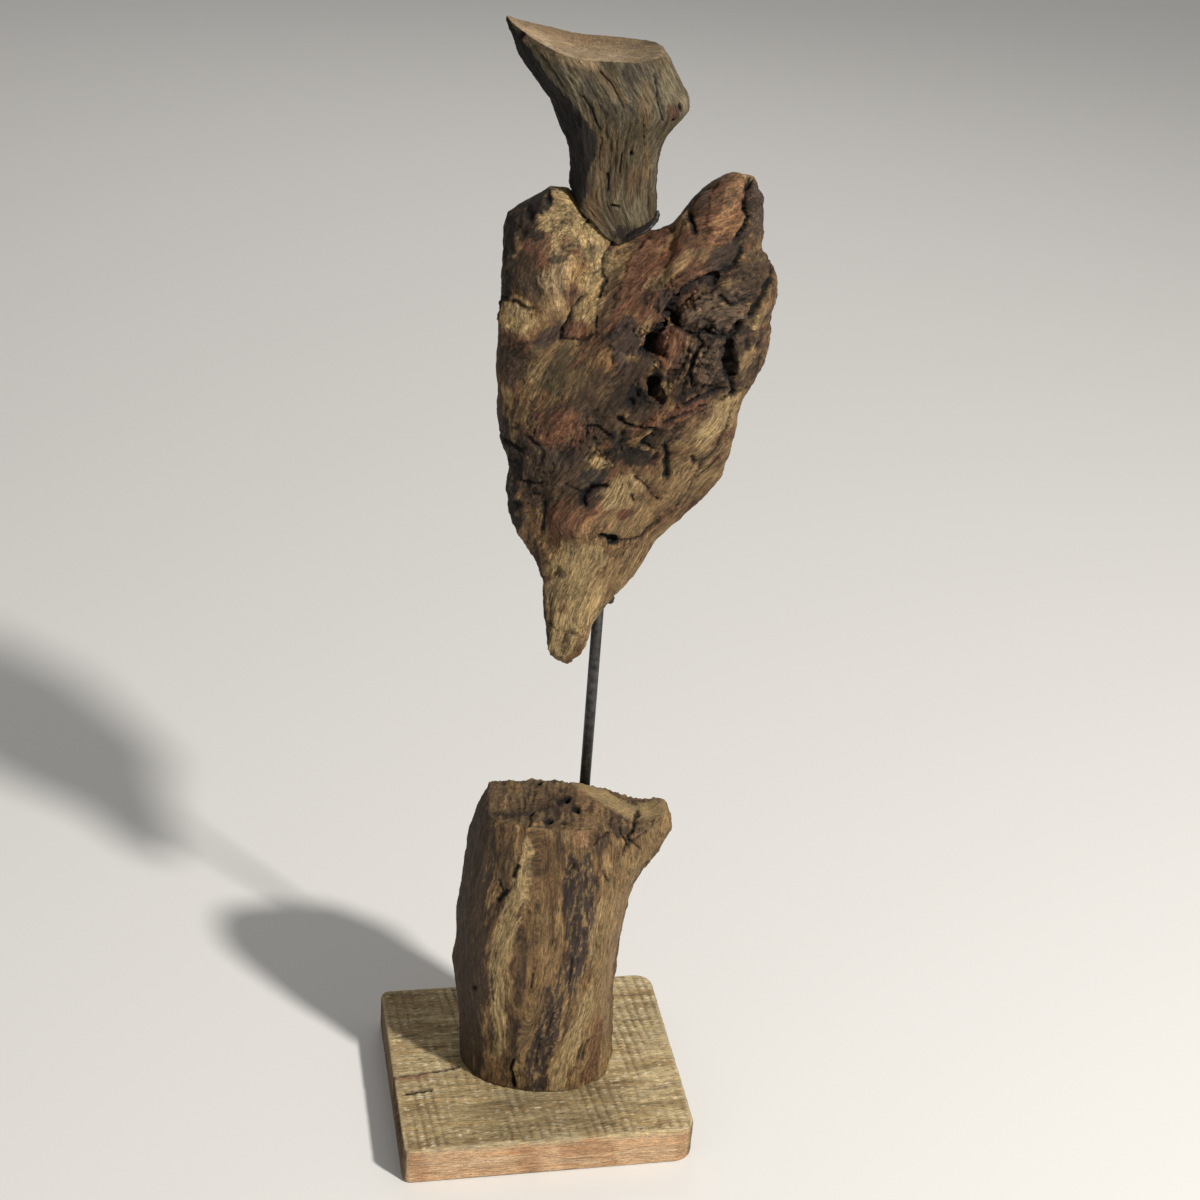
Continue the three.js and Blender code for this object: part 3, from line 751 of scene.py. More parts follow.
# Flakes that stand up from its front: place, half sizes, turn, height in millimetres
TORSO_SCALES = (
    ((3.6, 70.4), (2.4, 9.0), -32, 1.1),
    ((-17.8, 58.0), (3.2, 4.4), 0, 1.6),
    ((-7.2, 58.2), (2.8, 2.0), 10, 1.0),
    ((1.2, 57.4), (3.2, 4.8), -12, 0.8),
    ((9.4, 56.6), (3.0, 4.2), -8, 1.6),
    ((15.6, 53.6), (2.3, 3.8), 0, 1.4),
    ((15.6, 64.0), (5.0, 4.2), 20, 1.6),
    ((-7.0, 20.6), (3.4, 4.2), -10, 1.2),
    ((10.8, 44.2), (1.8, 7.4), -58, 1.4),
    ((16.4, 80.6), (3.0, 6.0), -14, 1.0),
    ((-12.4, 30.0), (4.0, 5.0), 0, 0.9),
    ((-9.6, 38.6), (4.6, 3.8), 10, 0.7),
)


def torso_grain(x, z):
    """Places across and along the torso's fibres, which lean right as they rise and part round the burl."""
    across = x - (z - 30) * (0.42 + 0.011 * x)
    across += 5.5 * np.exp(-((x - 16) / 8) ** 2 - ((z - 60) / 8) ** 2)
    across += 3.0 * np.exp(-((x + 6) / 6) ** 2 - ((z - 21) / 6) ** 2)
    across -= 3.0 * np.exp(-((x + 12) / 6) ** 2 - ((z - 57) / 7) ** 2)
    return across, z + 0.35 * x


def make_torso():
    piece = fine_copy("torso_root", "torso", TORSO_GRID, passes=7)
    points, normals = read_vertices(piece)
    place, facing = to_figure(points), turned_to_figure(normals)
    x = (place[:, 0] - ROD_X) / TORSO_UNIT
    z = (place[:, 2] - ENTRY_Z) / TORSO_UNIT
    depth = place[:, 1] - ROD_Y
    # Front and back, and places pushed about a little so that no edge runs straight
    front = ease_between(-0.15, 0.35, -facing[:, 1])
    back = ease_between(-0.15, 0.35, facing[:, 1])
    sway, sway_b = two_fields(place, 34, 5, 2)
    stir, stir_b = two_fields(place, 9, 7, 3)
    across, along = torso_grain(x + 1.3 * sway, z + 1.3 * sway_b)
    grain = np.stack([across * TORSO_UNIT + 0.25 * stir, along * TORSO_UNIT / 9, depth + 1.5 * sway_b], 1)
    wx, wz = x + 0.34 * stir + 0.3 * sway, z + 0.34 * stir_b + 0.3 * sway_b
    # Where the wood is rotten and rough, knotted, or worn smooth
    rough = ease_between(-0.4, 0.5, patch(wx, wz, (13, 55), (14, 15), 20)) * front
    rough = np.maximum(rough, 0.75 * front * ease_between(-0.3, 0.5, patch(wx, wz, (2, 38), (11, 7), 10)))
    rough = np.maximum(rough, 0.5 * front * ease_between(-0.3, 0.5, patch(wx, wz, (-13, 30), (7, 9), 0)))
    burl = np.clip(ease_between(-0.1, 0.35, patch(wx, wz, (16.2, 62.6), (6.6, 5.4), 25)), 0, 1) * front
    knotty = np.clip(ease_between(-0.1, 0.4, patch(wx, wz, (15.0, 53.4), (7.0, 5.4), 0)), 0, 1) * front
    smooth = front * ease_between(-0.1, 0.4, patch(wx, wz, (4, 15), (13, 14), -20))
    smooth = np.maximum(smooth, front * ease_between(-0.1, 0.4, patch(wx, wz, (16, 35), (6, 14), -30)))
    # Relief in millimetres: fibres, gouges, flakes, and the folds of the knots
    fibres = layered(grain / np.array([2.6, 1.5, 4.0]), 21, 4, 0.62)
    gouges = layered(grain / np.array([9, 2.6, 12]), 31, 3, 0.55)
    flakes = terraced(layered(grain / np.array([13, 2.6, 14]), 41, 4, 0.58), 4, 0.9)
    lumps = layered(place / 26, 51, 3)
    bent = 0.55 * layered(place / 7, 61, 2)[:, None]
    near, second = nearest_cells(place / np.array([5.6, 9, 5.0]) + bent, 71)
    wrinkles = ease_between(0.0, 0.42, second - near)
    folds = 1 - np.abs(layered(np.stack([wx / 2.6, wz / 1.5, depth / 12], 1), 75, 3, 0.6))
    relief = (1 - 0.55 * smooth) * (0.42 * fibres + 0.9 * gouges)
    relief += (0.55 + 1.5 * rough) * (1 - 0.7 * smooth) * flakes + 0.9 * lumps
    relief += burl * (1.7 * (wrinkles - 0.6) + 1.5 * (folds - 0.6))
    relief += knotty * (1.1 * (wrinkles - 0.6) + 1.0 * (folds - 0.6))
    for at, size, turn, height in TORSO_SCALES:
        inside = patch(wx, wz, at, size, turn) + 0.16 * fibres + 0.2 * gouges
        relief += front * height * ease_between(0.0, 0.16, inside)
    # Cracks and pits, and the fine splits along the grain
    ragged = 0.16 * fibres
    cracks = carved(wx, wz, TORSO_SEAMS, 0.3 * ragged + 0.42 * layered(place / 4, 77, 3, 0.6)) * front
    relief += 0.30 * front * ledges(wx, wz, TORSO_SEAMS, 2.2)
    hollows = np.maximum(cracks, pitted(wx, wz, TORSO_PITS, ragged) * front)
    hollows = np.maximum(hollows, carved(wx, wz, TORSO_BACK_SEAMS, 0.3 * ragged + 0.3 * stir_b) * back)
    split = 1 - ease_between(0.0, 0.05, np.abs(gouges + 0.2))
    fine = layered(grain / np.array([3.4, 1.7, 5]), 79, 3, 0.55)
    sparse = ease_between(-0.1, 0.4, layered(place / 16, 80, 2))
    split = np.maximum(split, sparse * (1 - ease_between(0.02, 0.10, np.abs(fine))))
    split *= (0.35 + 0.65 * rough) * (1 - 0.5 * smooth)
    relief -= np.maximum(hollows, 1.5 * split)
    relief *= 1 - 0.3 * back
    relief = np.minimum(relief, 2.6)
    write_points(piece, points + normals * (relief - 0.35)[:, None] * MM)
    # Stains of the front, with painted shade down its left flank and on the sides facing left, painted over
    # the streaky ground of the back
    brush = 0.40 * layered(grain / np.array([5, 1.2, 7]), 81, 5, 0.62)
    brush += 0.16 * layered(place / 5, 85, 3, 0.6)
    mottle = layered(grain / np.array([8, 1.6, 10]), 91, 4, 0.6)
    stain_and_shading = np.tile(np.array(HONEY), (len(x), 1))
    painted = blend_in(stain_and_shading, TAN, ease_between(0.0, 0.6, mottle))
    painted = blend_in(painted, RUST, 0.9 * ease_between(0.1, 0.55, -mottle))
    long_streaks = layered(grain / np.array([5, 7, 12]), 97, 4, 0.6) + 0.6 * layered(place / 50, 99, 2)
    stain_and_shading = blend_in(stain_and_shading, TAN, 0.8 * ease_between(-0.1, 0.8, long_streaks))
    stain_and_shading = blend_in(stain_and_shading, BACK_BROWN, 0.8 * ease_between(0.0, 0.8, -long_streaks))
    painted = stained_and_shaded(painted, wx, wz, TORSO_STAINS, brush)
    # Painted shade down the shaded left flank
    painted = streaked(painted, wx, wz, TORSO_FLANK_SHADE, 0.5 * brush, soft=0.35)
    streaky = layered(grain / np.array([3.2, 2.2, 5]), 95, 4, 0.7)
    painted = blend_in(painted, UMBER, 0.7 * ease_between(0.1, 0.8, streaky) * (1 - 0.4 * smooth))
    painted = blend_in(painted, TAN, 0.4 * ease_between(0.3, 0.9, -streaky))
    shown = ease_between(-0.55, 0.05, -facing[:, 1])[:, None]
    stain_and_shading = stain_and_shading * (1 - shown) + painted * shown
    # Painted shade on the sides that face left
    left_side_shade = (1 - front) * (1 - back) * ease_between(0.1, 0.6, -facing[:, 0])
    stain_and_shading = blend_in(stain_and_shading, UMBER, 0.75 * left_side_shade)
    # Painted shade: near black in the cracks, pits, splits and the burl's deep folds, darker in the
    # hollows; painted highlight: paler on the crests
    crease_shade = np.maximum(burl, knotty) * (1 - wrinkles)
    stain_and_shading = blend_in(stain_and_shading, NEAR_BLACK, 0.94 * np.clip(hollows / 1.8 + 0.85 * split + 0.55 * crease_shade, 0, 1))
    form = relief - 0.9 * lumps
    stain_and_shading = blend_in(stain_and_shading, BURL_CREST_HIGHLIGHT, 0.25 * np.maximum(burl, knotty) * ease_between(0.5, 1.8, form))
    stain_and_shading *= (0.93 - 0.64 * ease_between(0.1, 1.5, -form))[:, None]
    stain_and_shading *= (1 + 0.38 * ease_between(0.3, 1.6, form))[:, None]
    paint(piece, stain_and_shading, grain)
    finish = wood_finish(
        "root_wood", fibre=1.0, contrast=1.0, roughness=(0.55, 0.88), relief=0.8, checks=0.8)
    dress(piece, "torso", finish)


# The trunk

# Streaks of its front, upward, in millimetres: colour, places of (height, x, half width), strength; the
# broad dark one on the left is painted shade
TRUNK_STREAKS = (
    (HONEY, ((140, -24, 7), (195, -24, 8)), 0.7),
    (TAN, ((0, 34, 10), (60, 35, 8), (120, 38, 9), (165, 46, 9)), 0.8),
    (HONEY, ((50, -6, 7), (110, -4, 9), (170, 0, 10)), 0.75),
    (STRAW, ((30, -21, 4), (60, -22.5, 5), (88, -25, 6.4),
             (120, -21.5, 6.4), (150, -15.5, 5), (172, -12, 3)), 0.95),
    (STRAW, ((136, -11, 1.6), (158, -10, 1.6)), 0.7),
    (UMBER, ((72, -11.5, 3), (90, -11, 3.6), (108, -10.5, 2.4)), 0.75),
    (TAN, ((20, -7, 5), (60, -4, 6), (95, 4, 5), (128, 0, 5)), 0.6),
    (PLUM, ((2, 1, 7), (25, 3, 7), (45, 6, 8), (62, 9.5, 8.6), (80, 13.5, 9), (95, 18, 8)), 0.95),
    (PLUM, ((90, 19, 6), (112, 21, 6.6), (130, 18.5, 10), (150, 19.5, 10.6), (166, 16, 7)), 0.97),
    (TAN, ((40, 14, 1.2), (74, 15, 1.8), (92, 13, 1.0)), 0.8),
    (TAN, ((84, 8, 1.6), (104, 11, 1.8)), 0.8),
    (STRAW, ((96, 29, 2.6), (118, 29.5, 2.4), (134, 31, 1.6)), 0.75),
    (STRAW, ((-4, 14, 5.4), (16, 16, 6.2), (34, 21, 6.6), (56, 25.5, 5), (72, 28, 2.4)), 0.95),
    (RUST, ((4, 33, 4), (26, 35, 4), (44, 36, 2.4)), 0.7),
    (UMBER, ((150, -24, 3), (168, -22, 3)), 0.5),
    # Painted shade over the shaded left side
    (UMBER, ((-10, -46, 19), (30, -46, 20), (100, -48, 20), (160, -48, 20), (196, -48, 20)), 0.95),
    (HONEY, ((174, 18, 8), (198, 20, 9)), 0.85),
    (FLESH, ((180, 18, 7), (194, 20, 8)), 0.55),
    (PLUM, ((182, 38, 5), (192, 38, 8)), 0.85),
    (RUST, ((188, 36, 4), (193, 38, 4)), 0.5),
    (TAN, ((178, 58, 7), (200, 58, 8)), 0.7),
    (STRAW, ((186, -17.5, 2.6), (194, -17.5, 3)), 0.85),
    (STRAW, ((6, -10, 1.9), (17, -10.4, 1.9)), 0.8),
)

# Cracks of its front: path, half width, depth in millimetres
TRUNK_SEAMS = (
    (((47.5, 189), (46.5, 184), (42.6, 176.5), (44.6, 172.0)), 0.85, 2.8),
    (((38, 182), (40, 177), (42.4, 171), (40.6, 164)), 0.65, 2.2),
    (((52.5, 180), (48, 175), (44.6, 172)), 0.75, 2.4),
    (((45, 172), (51, 167)), 0.6, 1.6),
    (((-38.0, 67.4), (-37.8, 68.6)), 1.5, 2.2),
    (((-12.6, 22), (-13.6, 14), (-12.0, 5)), 1.0, 2.4),
    (((-12.4, 7), (-11.6, 2)), 1.7, 2.8),
    (((-27, 133), (-24, 139), (-22.6, 143)), 1.5, 2.2),
    (((-25, 141), (-27.6, 148)), 0.8, 1.6),
    (((-19, 154), (-16.6, 161)), 1.4, 2.0),
    (((12, 158), (14, 164)), 0.9, 1.4),
    (((31, 158), (33, 150)), 0.8, 1.4),
    (((24, 175), (30, 180), (33, 186)), 0.8, 1.6),
    (((31, 34), (28, 20)), 0.8, 1.6),
    (((-4, 90), (-5, 78)), 0.7, 1.2),
    (((9, 60), (6, 44)), 0.7, 1.4),
    (((3, 40), (1, 22)), 0.7, 1.4),
    (((18, 100), (16, 84)), 0.7, 1.4),
)

# Drying cracks of its back: path, half width, depth in millimetres
TRUNK_BACK_SEAMS = (
    (((-12, 176), (-9, 140), (-12, 104), (-10, 84)), 0.9, 2.6),
    (((14, 112), (17, 74), (14, 36)), 0.8, 2.2),
    (((-26, 70), (-24, 40), (-25, 12)), 0.7, 2.0),
    (((30, 150), (29, 118)), 0.7, 1.8),
    (((2, 60), (3, 20)), 0.6, 1.6),
)

# Holes of its rotten top seen from above: place, half sizes, turn, depth in millimetres
TRUNK_HOLES = (
    ((5.5, -9), (5.4, 3.4), 10, 6.0),
    ((13, -16), (3.4, 2.4), -30, 4.5),
    ((-1, -24), (2.6, 2.4), 0, 4.5),
    ((6.5, -25), (2.6, 2.0), 0, 4.5),
    ((-9, -16), (2.6, 1.6), 40, 3.4),
    ((-8, 4), (3.4, 1.8), 50, 3.5),
    ((9, 14), (2.6, 1.6), 0, 3.0),
    ((-20, 14), (3.6, 2.0), 30, 3.2),
    ((26, 16), (2.8, 1.6), -20, 2.6),
    ((47, -9), (2.0, 2.6), 0, 2.6),
)


def make_trunk():
    piece = fine_copy("trunk_wood", "trunk", TRUNK_GRID, passes=8)
    points, normals = read_vertices(piece)
    place, facing = to_figure(points), turned_to_figure(normals)
    x, y, z = place.T
    # Front and broken top, and the grain, which bends with the log
    front = ease_between(-0.1, 0.35, -facing[:, 1])
    top = ease_between(0.3, 0.7, facing[:, 2]) * ease_between(150, 165, z)
    warp, warp_b = two_fields(place, 26, 105, 2)
    stir, stir_b = two_fields(place, 8, 108, 3)
    to_right = ease_between(-14, -2, x)
    bend = to_right * (18 * ease_between(-10, 110, z) - 3 * ease_between(140, 190, z))
    bend += (1 - to_right) * (-3 * ease_between(40, 88, z) + 10 * ease_between(90, 165, z))
    grain = np.stack([x - bend * front + 1.6 * warp, y + 1.6 * warp_b, z / 10], 1)
    grain[:, 2] = grain[:, 2] * (1 - top) + top * (z / 10 + y / 14)
    wx, wz = x + 1.3 * warp + 0.7 * stir, z + 2.4 * warp_b + 1.2 * stir_b
    # Relief in millimetres, less where the surface is worn
    fibres = layered(grain / np.array([2.2, 2.6, 2.0]), 121, 4, 0.62)
    gouges = layered(grain / np.array([7, 8, 3.4]), 131, 3, 0.55)
    flakes = terraced(layered(grain / np.array([11, 12, 3.4]), 141, 4, 0.56), 4, 0.9)
    lumps = layered(place / 30, 151, 3)
    calm = streak(wx, z, ((-10, -46, 24), (100, -48, 24), (198, -48, 24)))
    calm = np.maximum(calm, streak(wx, z, ((-10, 38, 9), (70, 38, 9), (120, 42, 9), (170, 48, 8))))
    calm = np.maximum(calm, streak(wx, z, ((-4, 14, 6), (34, 21, 7), (56, 25, 6))))
    worn = (1 - 0.7 * front * ease_between(0, 0.35, calm)) * (1 - top)
    relief = worn * (0.42 * fibres + 0.85 * gouges + 0.95 * flakes) + 0.8 * lumps
    # The broken top: a spongy hollow, splinters, a ridge and a step
    bent = 0.6 * layered(place / 7, 161, 2)[:, None]
    near, second = nearest_cells(place / np.array([4.2, 6.0, 9]) + bent, 171)
    sponge = 1.0 * (ease_between(0.0, 0.5, second - near) - 0.5) + 1.0 * layered(place / 6, 181, 3)
    splinters = layered(np.stack([x / 2.0 + 0.3 * warp, y / 11, z / 14], 1), 185, 4, 0.6)
    ridge = seam(x + 1.4 * warp, y, ((12, 8), (26, 0), (38, -5), (44, -7)), 8) * ease_between(8, 14, x)
    ridge = np.maximum(ridge, seam(x, y, ((56, -4), (66, 0)), 12))
    ridge = ease_between(0, 0.5, ridge)
    hollow = ease_between(-0.3, 0.6, patch(x + stir, y + stir_b, (4, -11), (15, 9), 0))
    crumble = (0.4 + 0.8 * hollow) * sponge + (1 - 0.6 * hollow) * 0.85 * splinters
    relief += top * (1 - 0.8 * ridge) * crumble
    sill = ease_between(-36, -31, x) * (1 - ease_between(-13, -8, x))
    step = sill * ease_between(15.5, 17.5, -y + 0.8 * stir) * top
    relief -= STEP_DEPTH * step
    # Cracks and holes
    pits = carved(wx, wz, TRUNK_SEAMS, 0.12 * fibres + 0.15 * stir) * front
    back = ease_between(0.1, 0.5, facing[:, 1]) * (1 - top)
    pits = np.maximum(pits, carved(wx, wz, TRUNK_BACK_SEAMS, 0.12 * fibres + 0.3 * stir) * back)
    pits = np.maximum(pits, top * pitted(x + 0.8 * stir, y + 0.8 * stir_b, TRUNK_HOLES, 0.1 * fibres))
    relief -= pits
    foot = ease_between(0.4, 2.5, z)
    relief = np.minimum(relief, 2.4) * foot
    write_points(piece, points + normals * (relief - 0.3 * foot)[:, None] * MM)
    # Stains of the front, with painted shade down its left side, painted over the streaky ground of the
    # back
    brush = 0.36 * layered(grain / np.array([4.4, 5, 2.4]), 191, 4, 0.62)
    brush += 0.34 * layered(grain / np.array([1.5, 1.8, 1.5]), 195, 3, 0.7)
    mottle = layered(grain / np.array([7, 8, 3]), 201, 4, 0.62)
    stain_and_shading = np.tile(np.array(HONEY), (len(x), 1))
    painted = blend_in(stain_and_shading, TAN, ease_between(0.0, 0.55, mottle))
    painted = blend_in(painted, UMBER, 0.85 * ease_between(0.1, 0.55, -mottle))
    long_streaks = layered(grain / np.array([5, 6, 9]), 203, 4, 0.6) + 0.5 * layered(place / 45, 207, 2)
    stain_and_shading = blend_in(stain_and_shading, TAN, 0.8 * ease_between(-0.1, 0.8, long_streaks))
    stain_and_shading = blend_in(stain_and_shading, UMBER, 0.8 * ease_between(0.0, 0.8, -long_streaks))
    painted = streaked(painted, wx, wz, TRUNK_STREAKS, brush, soft=0.26)
    band = streak(wx, wz, ((2, 1, 9), (62, 9.5, 10), (95, 19, 9), (130, 18.5, 12), (170, 16, 11)))
    waves = np.stack([grain[:, 0] / 1.5 + 0.5 * stir, grain[:, 1] / 3, grain[:, 2] / 0.9], 1)
    wavy = layered(waves, 205, 3, 0.65)
    painted = blend_in(painted, TAN, 0.85 * ease_between(0.0, 0.3, band) * ease_between(0.12, 0.5, wavy))
    painted = blend_in(painted, UMBER, 0.6 * ease_between(0.3, 0.9, -wavy))
    shown = ease_between(-0.45, 0.1, -facing[:, 1])[:, None]
    stain_and_shading = stain_and_shading * (1 - shown) + painted * shown
    # The broken top's rotten browns and pale ridge, with paler crumbs and darker gaps that follow its
    # relief as painted highlight and shade, and painted shade in its hollow
    crumbs = 0.6 * sponge + 0.8 * splinters
    stain_and_shading = blend_in(stain_and_shading, ROTTEN_BROWN, 0.9 * top * (1 - 0.6 * ease_between(0, 0.5, x / 30)))
    stain_and_shading = blend_in(stain_and_shading, TAN, top * 0.75 * ease_between(0.1, 0.8, crumbs))
    stain_and_shading = blend_in(stain_and_shading, UMBER, top * 0.85 * ease_between(0.0, 0.8, -crumbs))
    stain_and_shading = blend_in(stain_and_shading, UMBER, top * hollow * 0.6)
    stain_and_shading = blend_in(stain_and_shading, STRAW, top * ridge * 0.8)
    # Painted shade: near black in the cracks, holes and the shadow line under the step, darker in the
    # hollows; painted highlight: paler on the crests
    step_shadow = sill * ease_between(0.2, 0.9, 1 - np.abs(-y + 0.8 * stir - 16.8) / 1.6) * top
    stain_and_shading = blend_in(stain_and_shading, NEAR_BLACK, 0.93 * np.clip(pits / 2.0 + 0.9 * step_shadow, 0, 1))
    form = relief - 0.8 * lumps + STEP_DEPTH * step
    stain_and_shading *= (0.78 - 0.38 * ease_between(0.3, 1.6, -form))[:, None]
    stain_and_shading *= (1 + 0.26 * ease_between(0.4, 1.6, form))[:, None]
    paint(piece, stain_and_shading, grain)
    finish = wood_finish(
        "log_wood", fibre=1.1, contrast=1.0, roughness=(0.55, 0.86), relief=0.5, checks=0.6)
    dress(piece, "trunk", finish)


# The head

# Stains of its front in millimetres from the notch: colour, place, half sizes, turn, strength; the
# near-black ones are painted shade
HEAD_STAINS = (
    (ASH, (-34, 78), (20, 9), -38, 0.9),
    (ASH, (6, 72), (26, 12), -6, 0.45),
    (HONEY, (-8, 76), (2.6, 12), 44, 0.6),
    (SLATE, (2, 81), (8, 5), -8, 0.7),
    (SLATE, (-6, 63), (8, 6), 10, 0.6),
    (SLATE, (-20, 73), (5, 6), 40, 0.6),
    (HONEY, (8, 67), (3.6, 13), 4, 0.6),
    (DRY_ASH, (19, 79), (4.6, 12), -18, 0.6),
    (DEEP_RUST, (21.5, 64), (3.4, 6.4), 6, 0.85),
    (PALE_ASH, (27.4, 67.6), (2.6, 7), 0, 0.7),
    (OLIVE, (0, 46), (15, 14), 0, 0.6),
    (HONEY, (-10, 38), (3.6, 18), 0, 0.5),
    (SLATE, (-6.6, 29), (2.0, 10), 0, 0.6),
    (TAN, (10.6, 34), (2.6, 16), 0, 0.6),
    (ASH, (14, 36), (2.0, 18), 0, 0.55),
    (ORANGE_BROWN, (4.3, 30), (2.4, 9), 0, 0.9),
    (ASH, (8.4, 13.4), (5.4, 5.6), 0, 0.75),
    (HONEY, (-13, 14), (5, 10), 0, 0.55),
    # Painted shadow at the neck's foot, where it meets the torso
    (NEAR_BLACK, (1.8, 3.0), (5.6, 3.4), 12, 0.85),
    (ASH, (-55, 96.6), (3.0, 4.0), -25, 0.8),
    # Painted shade in the tip's hole and on the facet under it
    (NEAR_BLACK, (-52.6, 92.6), (2.2, 3.6), -20, 0.95),
    (NEAR_BLACK, (-58.6, 101.2), (1.2, 1.6), 0, 0.9),
)

# Its cracks: path, half width, depth in millimetres
HEAD_SEAMS = (
    (((-1, 16.4), (-4.8, 17.4)), 0.7, 1.6),
    (((-7.4, 33), (-7.0, 24)), 0.5, 1.2),
    (((-2.0, 44), (-2.4, 34)), 0.45, 1.0),
    (((-22, 70), (-16, 62), (-13, 54)), 0.5, 1.2),
    (((-40, 83), (-31, 73)), 0.5, 1.0),
    (((-46, 88), (-36, 78)), 0.45, 1.0),
    (((-14, 82), (-7, 74), (-2, 66)), 0.5, 1.0),
    (((11, 82), (14, 70), (17, 60)), 0.5, 1.2),
    (((-12, 50), (-12.6, 40)), 0.45, 1.0),
    (((8, 58), (8.8, 47)), 0.4, 0.9),
    (((13, 26), (13, 14)), 0.4, 0.9),
)

# Its pits: place, half sizes, turn, depth in millimetres
HEAD_PITS = (
    ((3.0, 43.8), (1.1, 1.6), 10, 2.0),
    ((-4.8, 17.4), (1.0, 1.0), 0, 1.8),
    ((24.6, 66.4), (1.0, 3.4), 10, 2.2),
    ((22.0, 59.4), (1.2, 1.4), 0, 1.6),
    ((-52.8, 92.8), (1.8, 3.0), -20, 1.8),
)

# Where its front turns into its left side, painted near black as shade: heights, and the places of that
# edge
HEAD_EDGE = ((-6, 14, 18.5, 22.5, 29, 36, 40.5, 46.5, 52.5, 57, 63.5, 70, 79.5, 84, 91, 104),
             (-25, -20.5, -19, -17.5, -17.8, -17, -14.7, -15, -16.6, -19.8, -25.5, -33, -42, -47, -54, -64))


def make_head():
    piece = fine_copy("head_wood", "head", HEAD_GRID, passes=12)
    points, normals = read_vertices(piece)
    place, facing = to_figure(points), turned_to_figure(normals)
    x, y, z = place[:, 0] - NOTCH_X, place[:, 1] - NOTCH_Y, place[:, 2] - NOTCH_Z
    # Front and cut top, and the grain, which spreads with the head's width
    left, right = sides_at(x, z)
    share = np.clip((x - left) / np.maximum(right - left, 8), 0, 1) - 0.5
    front = ease_between(-0.1, 0.35, -facing[:, 1])
    top = ease_between(0.5, 0.8, facing[:, 2]) * ease_between(70, 80, z)
    sway, sway_b = two_fields(place, 22, 305, 2)
    stir, stir_b = two_fields(place, 6, 307, 3)
    grain = np.stack([share * 52 + 1.0 * sway, y + sway_b, z / 9 + 0.1 * sway_b], 1)
    wx, wz = x + 0.9 * sway + 0.6 * stir, z + 0.9 * sway_b + 0.6 * stir_b
    # Relief in millimetres, and the hollow and saw marks of the cut top
    fibres = layered(grain / np.array([1.7, 2.0, 1.2]), 321, 4, 0.68)
    gouges = layered(grain / np.array([6, 7, 3.4]), 331, 3, 0.5)
    flakes = terraced(layered(grain / np.array([9, 9, 3.4]), 341, 4, 0.55), 4, 0.9)
    lumps = layered(place / 24, 351, 3)
    relief = (1 - 0.92 * top) * (0.50 * fibres + 0.36 * gouges + 0.42 * flakes)
    relief += 0.6 * lumps * (1 - 0.6 * top)
    dish = top * ease_between(1.0, 0.0, np.hypot((x + 18) / 34, (y + 2) / 15))
    relief -= DISH_DEPTH * dish
    sawn = drift(np.stack([x / 2.2, y / 30, z / 9], 1), 361)
    relief += 0.12 * top * sawn
    pits = pitted(wx, wz, HEAD_PITS, 0.12 * fibres)
    pits = np.maximum(pits, carved(wx, wz, HEAD_SEAMS, 0.14 * fibres)) * front
    relief -= pits
    relief = np.minimum(relief, 1.8)
    write_points(piece, points + normals * (relief - 0.25)[:, None] * MM)
    # Stains of the front, with painted shade at the neck's foot and at the beak's tip, over the grey-green
    # ground of the rest
    brush = 0.36 * layered(grain / np.array([3.4, 4, 2.6]), 381, 4, 0.62)
    brush += 0.30 * layered(grain / np.array([1.3, 1.5, 1.4]), 385, 3, 0.7)
    mottle = layered(grain / np.array([6, 7, 3]), 391, 4, 0.62)
    stain_and_shading = np.tile(np.array(OLIVE), (len(x), 1))
    stain_and_shading = blend_in(stain_and_shading, ASH, 0.75 * ease_between(0.0, 0.6, mottle))
    stain_and_shading = blend_in(stain_and_shading, UMBER, 0.6 * ease_between(0.1, 0.6, -mottle))
    painted = stained_and_shaded(stain_and_shading, wx, wz, HEAD_STAINS, brush)
    stain_and_shading = stain_and_shading * (1 - front[:, None]) + painted * front[:, None]
    fine = layered(grain / np.array([1.6, 1.8, 2.0]), 395, 3, 0.7)
    stain_and_shading = blend_in(stain_and_shading, ASH, (1 - top) * 0.55 * ease_between(0.1, 0.8, fine))
    stain_and_shading = blend_in(stain_and_shading, UMBER, (1 - top) * 0.4 * ease_between(0.3, 1.0, -fine))
    # The left side painted near black as shade, the pale brink under the cut as a painted highlight on its
    # rounded edge, the cut top with a painted highlight on its near left, and painted shade in the pits
    edge = np.interp(z, *HEAD_EDGE) + 0.9 + 0.8 * stir + 1.2 * brush
    flank = ease_between(-0.6, 0.8, edge - x) * (1 - top)
    flank *= 1 - 0.75 * ease_between(-0.2, 0.6, facing[:, 1])
    # Painted highlight: a pale brink under the cut, standing for the light on its rounded edge
    brink = seam(x, z, ((-50, 91.5), (-40, 88), (-30, 86.4), (-18, 85.6)), 4.5) + 0.5 * brush
    stain_and_shading = blend_in(stain_and_shading, BISCUIT, 0.75 * front * (1 - top) * ease_between(0.0, 0.7, brink))
    pale = ease_between(-0.5, 0.5, layered(np.stack([x / 9, y / 14, z / 9], 1), 371, 3))
    stain_and_shading = blend_in(stain_and_shading, BISCUIT, top * (0.8 + 0.2 * pale))
    # Painted highlight on the near left of the cut top
    lit = ease_between(6, -12, y) * ease_between(4, -12, x)
    stain_and_shading = blend_in(stain_and_shading, CUT_TOP_HIGHLIGHT, top * 0.7 * pale * lit)
    darker = 0.6 * ease_between(-2, 10, y) + 0.22 * ease_between(0.3, 0.9, -sawn)
    stain_and_shading = blend_in(stain_and_shading, HONEY, top * darker)
    stain_and_shading = blend_in(stain_and_shading, OLIVE, top * 0.6 * ease_between(-8, 10, x + 6 * mottle))
